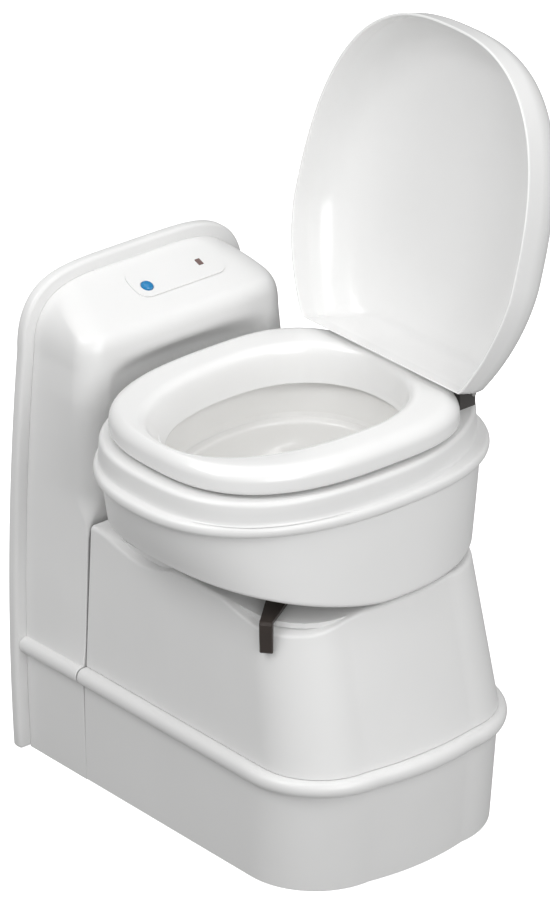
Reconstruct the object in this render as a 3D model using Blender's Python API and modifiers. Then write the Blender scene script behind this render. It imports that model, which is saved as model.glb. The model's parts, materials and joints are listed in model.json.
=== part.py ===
"""Cassette toilet for a caravan: swivelling bowl, flush-water console and slide-out waste tank.

Frame: origin on the floor under the bowl's swivel axis, +Z up, +Y towards the outer wall that the
console stands against. The bowl is stored turned sideways, its front towards -X, with the lid open.
All sizes in metres.
"""

import math

import bmesh
import bpy
from mathutils import Matrix, Vector

# ---------------------------------------------------------------- driving dimensions
GAP = 0.0003
WALL = 0.0030

# wall flange, the arched frame against the outer wall
BACK_Y = 0.3205
FLANGE_Y = 0.3040
FLANGE_HALF = 0.1935
FLANGE_BULGE = 0.1400
FLANGE_WAIST_Z = 0.1600
SHOULDER_Z = 0.5373
HEIGHT = 0.6330
ARCH_SIDE = 0.42
ARCH_TOP = 0.86
BAY_HALF = 0.1575
BAY_TOP = 0.3080

# console, from the flange to the seam with the pedestal
SEAM_Y = 0.1930
CONSOLE_INSET = 0.0155
CONSOLE_LEAN = 0.017
CONSOLE_EDGE_R = 0.030
RECESS_R = 0.2370
RECESS_FADE = (0.5130, 0.5500)
FADE_STEPS = (0.5130, 0.5241, 0.5315, 0.5389, 0.5500)
RECESS_Z = 0.3460
TOP_ROUND_Z = 0.5600
TOP_ROUND_Y = 0.0126
TOP_ROUND_H = 0.0225
TOP_SLOPE = 0.393

# pedestal, in front of the seam
SKIRT_HALF = 0.1748
SKIRT_FRONT = -0.2296
SKIRT_CORNER = 0.1020
SKIRT_BOW = 0.0080
SKIRT_FLARE = 0.0012
SKIRT_LEAN = 0.0104
BELT_LOW = 0.1350
BELT_HIGH = 0.1560
BELT_PROUD = 0.0115
CASING_LOW = 0.1563
CASING_TOP = 0.3450
CASING_LOW_HALF = 0.1725
CASING_TOP_HALF = 0.1620
CASING_LOW_FRONT = -0.2360
CASING_TOP_FRONT = -0.1900
CASING_CORNER = 0.0874
DECK_LOW = 0.3350
DECK_HIGH = 0.3417
WELL_R = 0.1420

# bowl, built about the swivel axis
SWIVEL_NECK_R = 0.0475
NECK_BORE_R = 0.0445
NECK_LOW = 0.3015
BOWL_LOW = 0.3525
BOWL_RISE = 0.0407
FLAT_REACH = 0.0300
RISE_POWER = 1.27
RIM_LOW = 0.4663
LIP_HIGH = 0.4810
RIM_HIGH = 0.5100
SEAT_LOW = 0.5148
SEAT_HIGH = 0.5460
HINGE_X = 0.1740
HINGE_Z = 0.5330
LID_LOW = 0.4815
LID_HIGH = 0.5600
LID_REAR = 0.1650
LID_LEAN = 15.0

# waste tank with its valve
TANK_HALF = 0.1500
TANK_FRONT = -0.1850
TANK_BACK = 0.2550
TANK_LOW = 0.0160
TANK_HIGH = 0.2772
INLET_R = 0.0450
BLADE_LOW = 0.2785
BLADE_HIGH = 0.2820
ROTOR_LOW = 0.2826
ROTOR_HIGH = 0.2885
COVER_LOW = 0.2890
COVER_HIGH = 0.2922
PITCH_R = 0.0760
TOOTH_COUNT = 38
PRESSURE_ANGLE = 20.0
BACKLASH = 0.0006
DOG_R = 0.0727
DOG_ANGLE = 215.0
LEVER_TURN = 70.0
LEVER_ANGLE = 220.0
LEVER_LOW = 0.3456
LEVER_HIGH = 0.3508

# ---------------------------------------------------------------- scene and materials
for old in list(bpy.data.objects):
    bpy.data.objects.remove(old, do_unlink=True)

PARTS = bpy.data.collections.new("cassette_toilet")
bpy.context.scene.collection.children.link(PARTS)

LOOKS = {
    "shell_white": ((0.86, 0.86, 0.85), 0.32, 0.0),
    "seat_white": ((0.88, 0.88, 0.87), 0.28, 0.0),
    "liner_white": ((0.84, 0.84, 0.82), 0.22, 0.0),
    "lever_brown": ((0.045, 0.036, 0.032), 0.38, 0.0),
    "hinge_grey": ((0.11, 0.11, 0.11), 0.45, 0.0),
    "button_blue": ((0.0, 0.22, 0.62), 0.25, 0.0),
    "lens_smoke": ((0.24, 0.10, 0.09), 0.20, 0.0),
    "tank_grey": ((0.56, 0.58, 0.60), 0.50, 0.0),
    "valve_grey": ((0.30, 0.31, 0.33), 0.45, 0.0),
    "cap_orange": ((0.80, 0.27, 0.03), 0.40, 0.0),
    "rubber_black": ((0.03, 0.03, 0.03), 0.75, 0.0),
    "steel": ((0.62, 0.62, 0.60), 0.35, 1.0),
    "board_green": ((0.03, 0.20, 0.09), 0.50, 0.0),
    "water_tank": ((0.78, 0.80, 0.80), 0.45, 0.0),
}


def look(name):
    """The Principled material of one kind of piece."""
    found = bpy.data.materials.get(name)
    if found:
        return found
    colour, roughness, metallic = LOOKS[name]
    material = bpy.data.materials.new(name)
    material.use_nodes = True
    shader = material.node_tree.nodes["Principled BSDF"]
    shader.inputs["Base Color"].default_value = (*colour, 1.0)
    shader.inputs["Roughness"].default_value = roughness
    shader.inputs["Metallic"].default_value = metallic
    return material


# ---------------------------------------------------------------- shape helpers
def linked(mesh):
    obj = bpy.data.objects.new("shape", mesh)
    PARTS.objects.link(obj)
    return obj


def from_bmesh(bm):
    """A new object from a closed bmesh, faces turned outwards."""
    bmesh.ops.recalc_face_normals(bm, faces=bm.faces)
    mesh = bpy.data.meshes.new("shape")
    bm.to_mesh(mesh)
    bm.free()
    return linked(mesh)


def baked(obj, weld=1e-6):
    """The object as a plain mesh: modifiers applied, loose caps welded, placement in the mesh."""
    bpy.context.view_layer.update()
    graph = bpy.context.evaluated_depsgraph_get()
    mesh = bpy.data.meshes.new_from_object(obj.evaluated_get(graph))
    mesh.transform(obj.matrix_world)
    bm = bmesh.new()
    bm.from_mesh(mesh)
    bpy.data.meshes.remove(mesh)
    bmesh.ops.remove_doubles(bm, verts=bm.verts, dist=weld)
    bpy.data.objects.remove(obj, do_unlink=True)
    return from_bmesh(bm)


def box(low, high):
    bm = bmesh.new()
    bmesh.ops.create_cube(bm, size=1.0)
    size = [b - a for a, b in zip(low, high)]
    middle = [(a + b) / 2 for a, b in zip(low, high)]
    bmesh.ops.transform(
        bm, matrix=Matrix.Translation(middle) @ Matrix.Diagonal((*size, 1.0)), verts=bm.verts
    )
    return from_bmesh(bm)


def rod(start, end, radius, end_radius=None, sides=24):
    """A round bar or a cone between two points."""
    start = Vector(start)
    end = Vector(end)
    along = end - start
    bm = bmesh.new()
    bmesh.ops.create_cone(
        bm,
        cap_ends=True,
        segments=sides,
        radius1=radius,
        radius2=radius if end_radius is None else end_radius,
        depth=along.length,
    )
    turn = along.to_track_quat("Z", "Y").to_matrix().to_4x4()
    bmesh.ops.transform(bm, matrix=Matrix.Translation((start + end) / 2) @ turn, verts=bm.verts)
    return from_bmesh(bm)


def turned(profile, steps=32, centre=(0.0, 0.0, 0.0), axis="Z"):
    """A closed (radius, height) profile, outer side top to bottom, turned about an axis."""
    mesh = bpy.data.meshes.new("profile")
    count = len(profile)
    edges = [(i, (i + 1) % count) for i in range(count)]
    if profile[0][0] == 0.0 and profile[-1][0] == 0.0:
        edges.pop()
    mesh.from_pydata([(r, 0.0, h) for r, h in profile], edges, [])
    obj = linked(mesh)
    screw = obj.modifiers.new("turn", "SCREW")
    screw.axis = "Z"
    screw.steps = steps
    screw.render_steps = steps
    screw.use_merge_vertices = True
    screw.merge_threshold = 0.00001
    turns = {
        "Z": Matrix.Identity(4),
        "Y": Matrix.Rotation(-math.pi / 2, 4, "X"),
        "X": Matrix.Rotation(math.pi / 2, 4, "Y"),
    }
    obj.matrix_world = Matrix.Translation(centre) @ turns[axis]
    return baked(obj, 1e-5)


def prism(outline, low, high, holes=(), frame=None):
    """A flat outline with holes, filled between two heights of its own frame."""
    curve = bpy.data.curves.new("outline", "CURVE")
    curve.dimensions = "2D"
    curve.fill_mode = "BOTH"
    curve.extrude = (high - low) / 2
    for points in (outline, *holes):
        spline = curve.splines.new("POLY")
        spline.points.add(len(points) - 1)
        for point, (x, y) in zip(spline.points, points):
            point.co = (x, y, 0.0, 1.0)
        spline.use_cyclic_u = True
    obj = bpy.data.objects.new("outline", curve)
    PARTS.objects.link(obj)
    place = Matrix.Translation((0, 0, (low + high) / 2))
    obj.matrix_world = (frame or Matrix.Identity(4)) @ place
    return baked(obj)


def loft(rings, closed=False):
    """A skin through rings with the same number of points; closed joins the last to the first."""
    bm = bmesh.new()
    rows = [[bm.verts.new(point) for point in ring] for ring in rings]
    pairs = list(zip(rows, rows[1:]))
    if closed:
        pairs.append((rows[-1], rows[0]))
    for lower, upper in pairs:
        for i in range(len(lower)):
            j = (i + 1) % len(lower)
            bm.faces.new((lower[i], lower[j], upper[j], upper[i]))
    if not closed:
        bm.faces.new(rows[0])
        bm.faces.new(rows[-1])
    return from_bmesh(bm)


def tube(points, radius, sides=2):
    """A round bar bent along points, with filled ends."""
    curve = bpy.data.curves.new("path", "CURVE")
    curve.dimensions = "3D"
    curve.bevel_depth = radius
    curve.bevel_resolution = sides
    curve.use_fill_caps = True
    spline = curve.splines.new("POLY")
    spline.points.add(len(points) - 1)
    for point, place in zip(spline.points, points):
        point.co = (*place, 1.0)
    obj = bpy.data.objects.new("path", curve)
    PARTS.objects.link(obj)
    return baked(obj, 1e-5)


def boolean(target, tool, operation):
    modifier = target.modifiers.new(operation.lower(), "BOOLEAN")
    modifier.operation = operation
    modifier.solver = "EXACT"
    modifier.object = tool
    result = baked(target)
    bpy.data.objects.remove(tool, do_unlink=True)
    return result


def cut(target, *tools):
    for tool in tools:
        target = boolean(target, tool, "DIFFERENCE")
    return target


def join(target, *others):
    for other in others:
        target = boolean(target, other, "UNION")
    return target


def softened(obj, width, segments=2, angle=40.0):
    """Rounded edges where faces meet at more than the angle."""
    bevel = obj.modifiers.new("round", "BEVEL")
    bevel.width = width
    bevel.segments = segments
    bevel.limit_method = "ANGLE"
    bevel.angle_limit = math.radians(angle)
    bevel.use_clamp_overlap = True
    return baked(obj)


def piece(name, obj, material, pivot=(0.0, 0.0, 0.0), parent=None):
    """Name a finished piece and put its origin on the axis that it moves about."""
    pivot = Vector(pivot)
    obj.name = name
    obj.data.name = name
    obj.data.transform(Matrix.Translation(-pivot))
    obj.location = pivot
    obj.data.materials.clear()
    obj.data.materials.append(look(material))
    obj.data.shade_smooth()
    obj.data.set_sharp_from_angle(angle=math.radians(35))
    if parent is not None:
        obj.parent = parent
        obj.location = pivot - parent.matrix_world.translation
    return obj


def joint_empty(name, place):
    empty = bpy.data.objects.new(name, None)
    empty.location = place
    empty.empty_display_size = 0.03
    PARTS.objects.link(empty)
    bpy.context.view_layer.update()
    return empty


# ---------------------------------------------------------------- outlines
def circle(radius, centre=(0.0, 0.0), count=36):
    return [
        (
            centre[0] + radius * math.cos(2 * math.pi * i / count),
            centre[1] + radius * math.sin(2 * math.pi * i / count),
        )
        for i in range(count)
    ]


def rounded(low_x, low_y, high_x, high_y, radius, count=6):
    """A rectangle with round corners."""
    points = []
    corners = (
        (high_x - radius, high_y - radius, 0),
        (low_x + radius, high_y - radius, 90),
        (low_x + radius, low_y + radius, 180),
        (high_x - radius, low_y + radius, 270),
    )
    for cx, cy, start in corners:
        for i in range(count + 1):
            a = math.radians(start + 90 * i / count)
            points.append((cx + radius * math.cos(a), cy + radius * math.sin(a)))
    return points


def sector(inner, outer, start, end, count=16):
    """Part of a flat ring between two angles in degrees."""
    angles = [math.radians(start + (end - start) * i / count) for i in range(count + 1)]
    out = [(outer * math.cos(a), outer * math.sin(a)) for a in angles]
    back = [(inner * math.cos(a), inner * math.sin(a)) for a in reversed(angles)]
    return out + back


def plan(half, front, corner, bow, back=SEAM_Y - GAP, count=7):
    """The pedestal's U-shaped plan: straight sides, round corners and a slightly bowed front."""
    points = [(half, back)]
    for i in range(count + 1):
        a = math.radians(-90 * i / count)
        points.append(
            (half - corner + corner * math.cos(a), front + bow + corner + corner * math.sin(a))
        )
    run = half - corner
    for i in range(1, 6):
        x = run * (1 - i / 3)
        points.append((x, front + bow * (x / run) ** 2))
    for i in range(count + 1):
        a = math.radians(-90 - 90 * i / count)
        points.append(
            (-half + corner + corner * math.cos(a), front + bow + corner + corner * math.sin(a))
        )
    points.append((-half, back))
    return points


def side_half(z):
    """Half width of the flange: sides gently bowed, widest low down."""
    return FLANGE_HALF - FLANGE_BULGE * (z - FLANGE_WAIST_Z) ** 2


def arch(inset, low=0.0, side_count=6, top_count=28):
    """The flange's outline in X and Z, moved in by an inset."""
    shoulder = side_half(SHOULDER_Z) - inset
    rise = HEIGHT - inset - SHOULDER_Z
    right = []
    for i in range(side_count):
        z = low + (SHOULDER_Z - low) * i / side_count
        right.append((side_half(z) - inset, z))
    for i in range(top_count // 2 + 1):
        a = math.pi / 2 * i / (top_count // 2)
        x = shoulder * max(math.cos(a), 0.0) ** ARCH_SIDE if i < top_count // 2 else 0.0
        right.append((x, SHOULDER_Z + rise * math.sin(a) ** ARCH_TOP))
    left = [(-x, z) for x, z in reversed(right[:-1])]
    return right + left


def console_half(z, inset):
    """Half width of the console at a height, inside the flange's outline."""
    if z <= SHOULDER_Z:
        return side_half(z) - inset
    share = (z - SHOULDER_Z) / (HEIGHT - inset - SHOULDER_Z)
    sine = min(share, 1.0) ** (1 / ARCH_TOP)
    return (side_half(SHOULDER_Z) - inset) * math.sqrt(max(1 - sine * sine, 0.0)) ** ARCH_SIDE


def pedestal_half(z):
    """Half width of the pedestal at the seam, which the console's front keeps above it."""
    if z <= CASING_LOW:
        return SKIRT_HALF + SKIRT_FLARE * min(max(z / BELT_LOW, 0.0), 1.0)
    share = min((z - CASING_LOW) / (CASING_TOP - CASING_LOW), 1.0)
    return CASING_LOW_HALF + (CASING_TOP_HALF - CASING_LOW_HALF) * share


def front_y(z):
    """The console's front in side view: upright, rounded over, then a slope up to the flange."""
    upright = SEAM_Y + CONSOLE_LEAN * min(max(z, 0.0), TOP_ROUND_Z)
    if z <= TOP_ROUND_Z:
        return upright
    if z <= TOP_ROUND_Z + TOP_ROUND_H:
        share = (z - TOP_ROUND_Z) / TOP_ROUND_H
        return upright + TOP_ROUND_Y * (1 - math.sqrt(1 - 0.96 * share * share)) / 0.8
    return upright + TOP_ROUND_Y + (z - TOP_ROUND_Z - TOP_ROUND_H) / TOP_SLOPE


def recess_share(z):
    """How far the hollow for the bowl is cut: fully beside it, fading out above its rim."""
    low, high = RECESS_FADE
    share = min(max((high - z) / (high - low), 0.0), 1.0)
    return share * share * (3 - 2 * share)


def console_ring(z, skin=0.0, back=FLANGE_Y - GAP, recessed=False, count=5):
    """The console's horizontal section, moved in by a skin thickness."""
    rear_half = console_half(z, CONSOLE_INSET + skin)
    half = min(rear_half, pedestal_half(z) - skin)
    front = max(front_y(z) + skin, front_y(z + 1.07 * skin))
    corner = CONSOLE_EDGE_R - skin * 0.5 if z > RECESS_Z - WALL - GAP else 0.0015
    edge = min(corner, half * 0.6, (back - front) * 0.85)
    points = [(rear_half, back, z)]
    for i in range(count + 1):
        a = math.radians(-90 * i / count)
        points.append((half - edge + edge * math.cos(a), front + edge + edge * math.sin(a), z))
    run = half - edge
    for i in range(1, 16):
        x = run * (1 - i / 8)
        y = front
        if recessed and abs(x) < RECESS_R:
            hollow = math.sqrt((RECESS_R + skin) ** 2 - x * x)
            y = max(front, front + (hollow - front) * recess_share(z))
        points.append((x, min(y, back - 0.002), z))
    for i in range(count + 1):
        a = math.radians(-90 - 90 * i / count)
        points.append((-half + edge + edge * math.cos(a), front + edge + edge * math.sin(a), z))
    points.append((-rear_half, back, z))
    return points


def egg(
    front, rear, half, z, front_power=2.3, rear_power=2.4, rise=0.0, count=40, clip=None, centre=0.0
):
    """A bowl section: front towards -X, rear towards +X; the front can rise."""
    points = []
    for i in range(count):
        a = 2 * math.pi * i / count
        c = math.cos(a)
        s = math.sin(a)
        if c < 0:
            x = -front * abs(c) ** (2 / front_power)
            y = half * math.copysign(abs(s) ** (2 / front_power), s)
        else:
            x = rear * c ** (2 / rear_power)
            y = half * math.copysign(abs(s) ** (2 / rear_power), s)
        lift = rise * min(max((-x - FLAT_REACH) / (0.2180 - FLAT_REACH), 0.0), 1.0) ** RISE_POWER
        x += centre
        if clip is not None:
            x = min(x, clip)
        points.append((x, y, z + lift))
    return points


def placed(obj, matrix):
    obj.data.transform(matrix)
    return obj


# ---------------------------------------------------------------- base tray with tank runners
SCREW_PLACES = ((0.145, -0.100), (-0.145, -0.100), (0.145, 0.280), (-0.145, 0.280))


def base_tray():
    outline = plan(0.1570, SKIRT_FRONT + 0.008, 0.082, SKIRT_BOW, back=BACK_Y)
    tray = prism(outline, 0.0, 0.0030)
    for side in (1, -1):
        low_x, high_x = sorted((side * 0.083, side * 0.093))
        tray = join(tray, box((low_x, -0.112, 0.0020), (high_x, 0.300, TANK_LOW - GAP)))
        low_x, high_x = sorted((side * 0.0150, side * 0.0200))
        ear = box((low_x, 0.2575, 0.0020), (high_x, 0.2665, 0.0115))
        tray = join(tray, ear)
    tray = cut(tray, rod((-0.03, 0.262, 0.0072), (0.03, 0.262, 0.0072), 0.0022, sides=16))
    for x, y in SCREW_PLACES:
        tray = cut(tray, rod((x, y, -0.01), (x, y, 0.02), 0.0026, sides=16))
    return tray


piece("base_tray", base_tray(), "tank_grey")
for number, (x, y) in enumerate(SCREW_PLACES):
    screw = turned(
        [(0.0, 0.0063), (0.0030, 0.0060), (0.0045, 0.0046), (0.0045, 0.0033),
         (0.0022, 0.0033), (0.0022, 0.0002), (0.0, 0.0002)],
        steps=12,
        centre=(x, y, 0.0),
    )
    piece(f"floor_screw_{number + 1}", screw, "steel")


# ---------------------------------------------------------------- pedestal
def skirt_ring(z, out=0.0, back=SEAM_Y - GAP):
    share = min(max(z / BELT_LOW, 0.0), 1.0)
    half = SKIRT_HALF + SKIRT_FLARE * share + out
    front = SKIRT_FRONT - SKIRT_LEAN * share - out
    return [(x, y, z) for x, y in plan(half, front, SKIRT_CORNER + out, SKIRT_BOW, back)]


BELT_PROFILE = (
    (BELT_LOW, 0.0),
    (BELT_LOW + 0.0010, 0.0050),
    (BELT_LOW + 0.0036, 0.0090),
    (BELT_LOW + 0.0080, BELT_PROUD),
    (BELT_HIGH - 0.0080, BELT_PROUD),
    (BELT_HIGH - 0.0036, 0.0090),
    (BELT_HIGH - 0.0010, 0.0048),
    (BELT_HIGH, 0.0),
)


def lower_skirt():
    """The lower moulding: upright walls, the round belt along its top and a ledge inside it."""
    shell = loft([skirt_ring(0.0)] + [skirt_ring(z, out) for z, out in BELT_PROFILE])
    beyond = SEAM_Y + 0.03
    levels = (-0.01, 0.0, BELT_LOW, BELT_HIGH - WALL)
    hollow = loft([skirt_ring(z, -WALL, beyond) for z in levels])
    mouth = loft([skirt_ring(z, -0.011, beyond) for z in (BELT_HIGH - 0.006, BELT_HIGH + 0.01)])
    return cut(shell, join(hollow, mouth))


def casing_ring(z, out=0.0, back=SEAM_Y - GAP):
    share = (z - CASING_LOW) / (CASING_TOP - CASING_LOW)
    half = CASING_LOW_HALF + (CASING_TOP_HALF - CASING_LOW_HALF) * share + out
    front = CASING_LOW_FRONT + (CASING_TOP_FRONT - CASING_LOW_FRONT) * share - out
    corner = CASING_CORNER - 0.008 * share + out
    return [(x, y, z) for x, y in plan(half, front, corner, SKIRT_BOW, back)]


def scoop(angle, reach=0.052, depth=0.011):
    """A shallow lens cut from the casing's top edge."""
    bm = bmesh.new()
    bmesh.ops.create_uvsphere(bm, u_segments=16, v_segments=10, radius=1.0)
    a = math.radians(angle)
    place = Matrix.Translation((0.178 * math.cos(a), 0.178 * math.sin(a), CASING_TOP + 0.001))
    size = Matrix.Diagonal((0.030, reach, depth, 1.0))
    bmesh.ops.transform(bm, matrix=place @ Matrix.Rotation(a, 4, "Z") @ size, verts=bm.verts)
    return from_bmesh(bm)


def upper_casing():
    """The tapered upper moulding with a round well under the bowl and two lens-shaped scoops."""
    shell = loft(
        [casing_ring(CASING_LOW)]
        + [casing_ring(z) for z in (0.20, 0.25, 0.30, CASING_TOP - 0.005)]
        + [casing_ring(CASING_TOP - 0.0015, -0.0015), casing_ring(CASING_TOP, -0.0045)]
    )
    beyond = SEAM_Y + 0.03
    hollow = loft([casing_ring(z, -WALL, beyond) for z in (CASING_LOW - 0.01, CASING_TOP - WALL)])
    shell = cut(shell, hollow)
    well = turned(
        [(0.0, CASING_TOP + 0.01), (WELL_R, CASING_TOP + 0.01), (WELL_R, CASING_TOP - 0.02),
         (0.0, CASING_TOP - 0.02)],
        steps=72,
    )
    return cut(shell, well, scoop(222.0, 0.066), scoop(149.0, 0.048))


def pedestal_deck():
    """The plate that carries the bowl: a bore for its neck and an arc slot for the valve dog."""
    outline = plan(0.1530, CASING_TOP_FRONT + 0.0045, 0.074, SKIRT_BOW, back=0.1900)
    slot = sector(0.0684, 0.0770, 139.5, 220.5)
    return prism(outline, DECK_LOW, DECK_HIGH, holes=(circle(0.0496), slot))


piece("lower_skirt", lower_skirt(), "shell_white")
piece("upper_casing", upper_casing(), "shell_white")
piece("pedestal_deck", pedestal_deck(), "valve_grey")
bearing = [(0.0640, 0.3522), (0.0640, 0.3420), (0.0500, 0.3420), (0.0500, 0.3522)]
piece("bearing_ring", turned(bearing), "valve_grey")


# ---------------------------------------------------------------- console
def console_levels(low, skin=0.0):
    """Section heights, closer together where the front and the top round over."""
    top = HEIGHT - CONSOLE_INSET - skin
    levels = [low, 0.43 - 2 * skin] + [z - 2 * skin for z in FADE_STEPS]
    levels.append(TOP_ROUND_Z - 1.07 * skin)
    for share in (0.45, 0.75, 0.92, 1.0):
        levels.append(TOP_ROUND_Z + share * TOP_ROUND_H - 1.07 * skin)
    last = levels[-1]
    for share in (0.3, 0.55, 0.75, 0.9, 0.975):
        levels.append(last + share * (top - last))
    return levels


def panel_frame():
    """The control panel's frame: on the sloped top, its own Z straight out of it."""
    y = 0.2620
    start = TOP_ROUND_Z + TOP_ROUND_H
    z = start + (y - front_y(start)) * TOP_SLOPE
    tilt = Matrix.Rotation(math.atan(TOP_SLOPE), 4, "X")
    return Matrix.Translation((0.0, y, z)) @ tilt


PANEL = panel_frame()
BUTTON_AT = (-0.0210, -0.0065)
LENS_AT = (0.0670, 0.0020)


def button_hole(radius):
    x, y = BUTTON_AT
    return rod((x, y, -0.02), (x, y, 0.02), radius, sides=32)


def lens_hole(margin):
    x, y = LENS_AT
    half_x = 0.0035 + margin
    half_y = 0.0050 + margin
    return box((x - half_x, y - half_y, -0.02), (x + half_x, y + half_y, 0.02))


def console_shell():
    """The console moulding, open at its back and underneath, with the tank's bay in its front."""

    def belt_ring(z, out):
        ring = console_ring(z)
        turned_out = []
        for x, y, height in ring:
            grown = 1 + out / abs(console_half(z, CONSOLE_INSET))
            turned_out.append((x * grown, y, height))
        return turned_out

    low = [console_ring(0.0)] + [belt_ring(z, out) for z, out in BELT_PROFILE]
    low += [console_ring(z) for z in (0.24, RECESS_Z)]
    high = [console_ring(z, recessed=True) for z in console_levels(RECESS_Z + 0.0015)]
    shell = loft(low + high)
    beyond = FLANGE_Y + 0.02
    hollow_low = [console_ring(z, WALL, beyond) for z in (-0.01, CASING_LOW, RECESS_Z - WALL)]
    levels = console_levels(RECESS_Z + 0.0015 - WALL, WALL)
    hollow_high = [console_ring(z, WALL, beyond, True) for z in levels]
    shell = cut(shell, loft(hollow_low + hollow_high))
    bay = box((-BAY_HALF, SEAM_Y - 0.02, -0.01), (BAY_HALF, SEAM_Y + 0.03, 0.3270))
    holes = join(placed(button_hole(0.0086), PANEL), placed(lens_hole(0.001), PANEL))
    return cut(shell, join(bay, holes))


def control_panel():
    plate = prism(rounded(-0.040, -0.024, 0.095, 0.024, 0.016), GAP, GAP + 0.0014)
    return placed(cut(plate, button_hole(0.0086), lens_hole(0.0003)), PANEL)


def level_lens():
    x, y = LENS_AT
    return placed(box((x - 0.0035, y - 0.005, -0.004), (x + 0.0035, y + 0.005, 0.0022)), PANEL)


def flush_button():
    profile = [(0.0, 0.0052), (0.0030, 0.0050), (0.0058, 0.0043), (0.0074, 0.0032),
               (0.0080, 0.0018), (0.0080, -0.0060), (0.0032, -0.0065), (0.0032, -0.0120),
               (0.0, -0.0120)]
    x, y = BUTTON_AT
    return placed(turned(profile, steps=24, centre=(x, y, 0.0)), PANEL)


piece("console_shell", console_shell(), "shell_white")
piece("control_panel", control_panel(), "shell_white")
piece("level_lens", level_lens(), "lens_smoke")
button_place = PANEL @ Vector((*BUTTON_AT, 0.0))
piece("flush_button", flush_button(), "button_blue", button_place, joint_empty("flush_push", button_place))


def circuit_box():
    return softened(box((-0.045, 0.2440, 0.5640), (0.080, 0.2860, 0.5760)), 0.0015, 1)


piece("circuit_box", circuit_box(), "board_green")

# ---------------------------------------------------------------- wall flange
UPRIGHT = Matrix(((1, 0, 0, 0), (0, 0, -1, 0), (0, 1, 0, 0), (0, 0, 0, 1)))
FILLER_AT = (0.0850, 0.4800)


def wall_flange():
    """The arched frame: legs to the floor either side of the tank's bay, and a filler hole."""
    plate = prism(arch(0.0), -BACK_Y, -FLANGE_Y, frame=UPRIGHT)
    plate = softened(plate, 0.0045, 2, 60.0)
    bay = box((-BAY_HALF, FLANGE_Y - 0.01, -0.01), (BAY_HALF, BACK_Y + 0.01, BAY_TOP))
    x, z = FILLER_AT
    hole = rod((x, FLANGE_Y - 0.01, z), (x, BACK_Y + 0.01, z), 0.0240, sides=40)
    return cut(plate, bay, hole)


piece("wall_flange", wall_flange(), "shell_white")


# ---------------------------------------------------------------- flush water
def flush_tank():
    """The water tank that fills the console above the bay, with its filler hole at the back."""
    low, high, back = 0.3560, 0.5520, 0.2985
    middle = [0.42] + [z - 0.0050 for z in FADE_STEPS]
    outer = loft([console_ring(z, 0.0105, back, True) for z in (low, *middle, high)])
    levels = (low + 0.0025, *middle, high - 0.0025)
    inner = loft([console_ring(z, 0.0130, back - 0.0025, True) for z in levels])
    x, z = FILLER_AT
    hole = rod((x, back - 0.01, z), (x, back + 0.01, z), 0.0160, sides=32)
    outlet = rod((-0.080, 0.272, low - 0.01), (-0.080, 0.272, low + 0.01), 0.0040, sides=16)
    return cut(outer, join(inner, hole, outlet))


def filler_neck():
    x, z = FILLER_AT
    profile = [(0.0190, 0.3175), (0.0190, 0.3020), (0.0215, 0.3020), (0.0215, 0.2988),
               (0.0160, 0.2988), (0.0160, 0.3175)]
    return turned(profile, 28, (x, 0.0, z), "Y")


def filler_cap():
    """A screw cap with ribs for the fingers."""
    x, z = FILLER_AT
    profile = [(0.0, 0.3202), (0.0210, 0.3202), (0.0218, 0.3192), (0.0218, 0.3105),
               (0.0194, 0.3105), (0.0194, 0.3180), (0.0, 0.3180)]
    cap = turned(profile, 28, (x, 0.0, z), "Y")
    for i in range(8):
        a = 2 * math.pi * i / 8
        px, pz = x + 0.0215 * math.cos(a), z + 0.0215 * math.sin(a)
        cap = join(cap, rod((px, 0.3110, pz), (px, 0.3185, pz), 0.0012, sides=8))
    return cap


piece("flush_tank", flush_tank(), "water_tank")
piece("filler_neck", filler_neck(), "valve_grey")
cap_place = (FILLER_AT[0], 0.3150, FILLER_AT[1])
piece("filler_cap", filler_cap(), "cap_orange", cap_place, joint_empty("filler_cap_turn", cap_place))

pump = join(
    rod((-0.135, 0.272, 0.3410), (-0.095, 0.272, 0.3410), 0.0120, sides=32),
    rod((-0.0955, 0.272, 0.3410), (-0.070, 0.272, 0.3410), 0.0080, sides=24),
    rod((-0.080, 0.272, 0.3420), (-0.080, 0.272, 0.3557), 0.0036, sides=16),
)
piece("flush_pump", pump, "valve_grey")


def hose_point(share):
    """The hose's run from the pump forward to the bowl's neck."""
    start, bend_one, bend_two, end = (
        Vector((-0.0690, 0.2720, 0.3410)),
        Vector((-0.0200, 0.2760, 0.3400)),
        Vector((-0.0050, 0.2500, 0.3150)),
        Vector((0.0, 0.0680, 0.3160)),
    )
    s = share
    return (
        start * (1 - s) ** 3 + bend_one * 3 * s * (1 - s) ** 2
        + bend_two * 3 * s * s * (1 - s) + end * s ** 3
    )


piece("flush_hose", tube([hose_point(i / 20) for i in range(21)], 0.0042, 1), "rubber_black")

# ---------------------------------------------------------------- bowl
SWIVEL = joint_empty("bowl_swivel", (0.0, 0.0, BOWL_LOW))


def casing_section(share, inset, z, rise_left):
    """The bowl's outer casing between its bottom (0) and the rim (1)."""
    front = 0.2200 + 0.0250 * share - inset
    rear = 0.2079 + 0.0091 * share - inset
    half = 0.2010 - 0.0100 * share - inset
    return egg(front, rear, half, z, 2.5 - 0.2 * share, 2.17 + 0.28 * share, rise_left)


def bottom_ring(inset, z, scale):
    """A smaller copy of the bottom edge, lying on the same rising underside."""
    outline = casing_section(0.0, inset, z, 0.0)
    small = []
    for x, y, _ in outline:
        reach = (-x * scale - FLAT_REACH) / (0.2180 - FLAT_REACH)
        lift = BOWL_RISE * min(max(reach, 0.0), 1.0) ** RISE_POWER
        small.append((x * scale, y * scale, z + lift))
    return small


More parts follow.
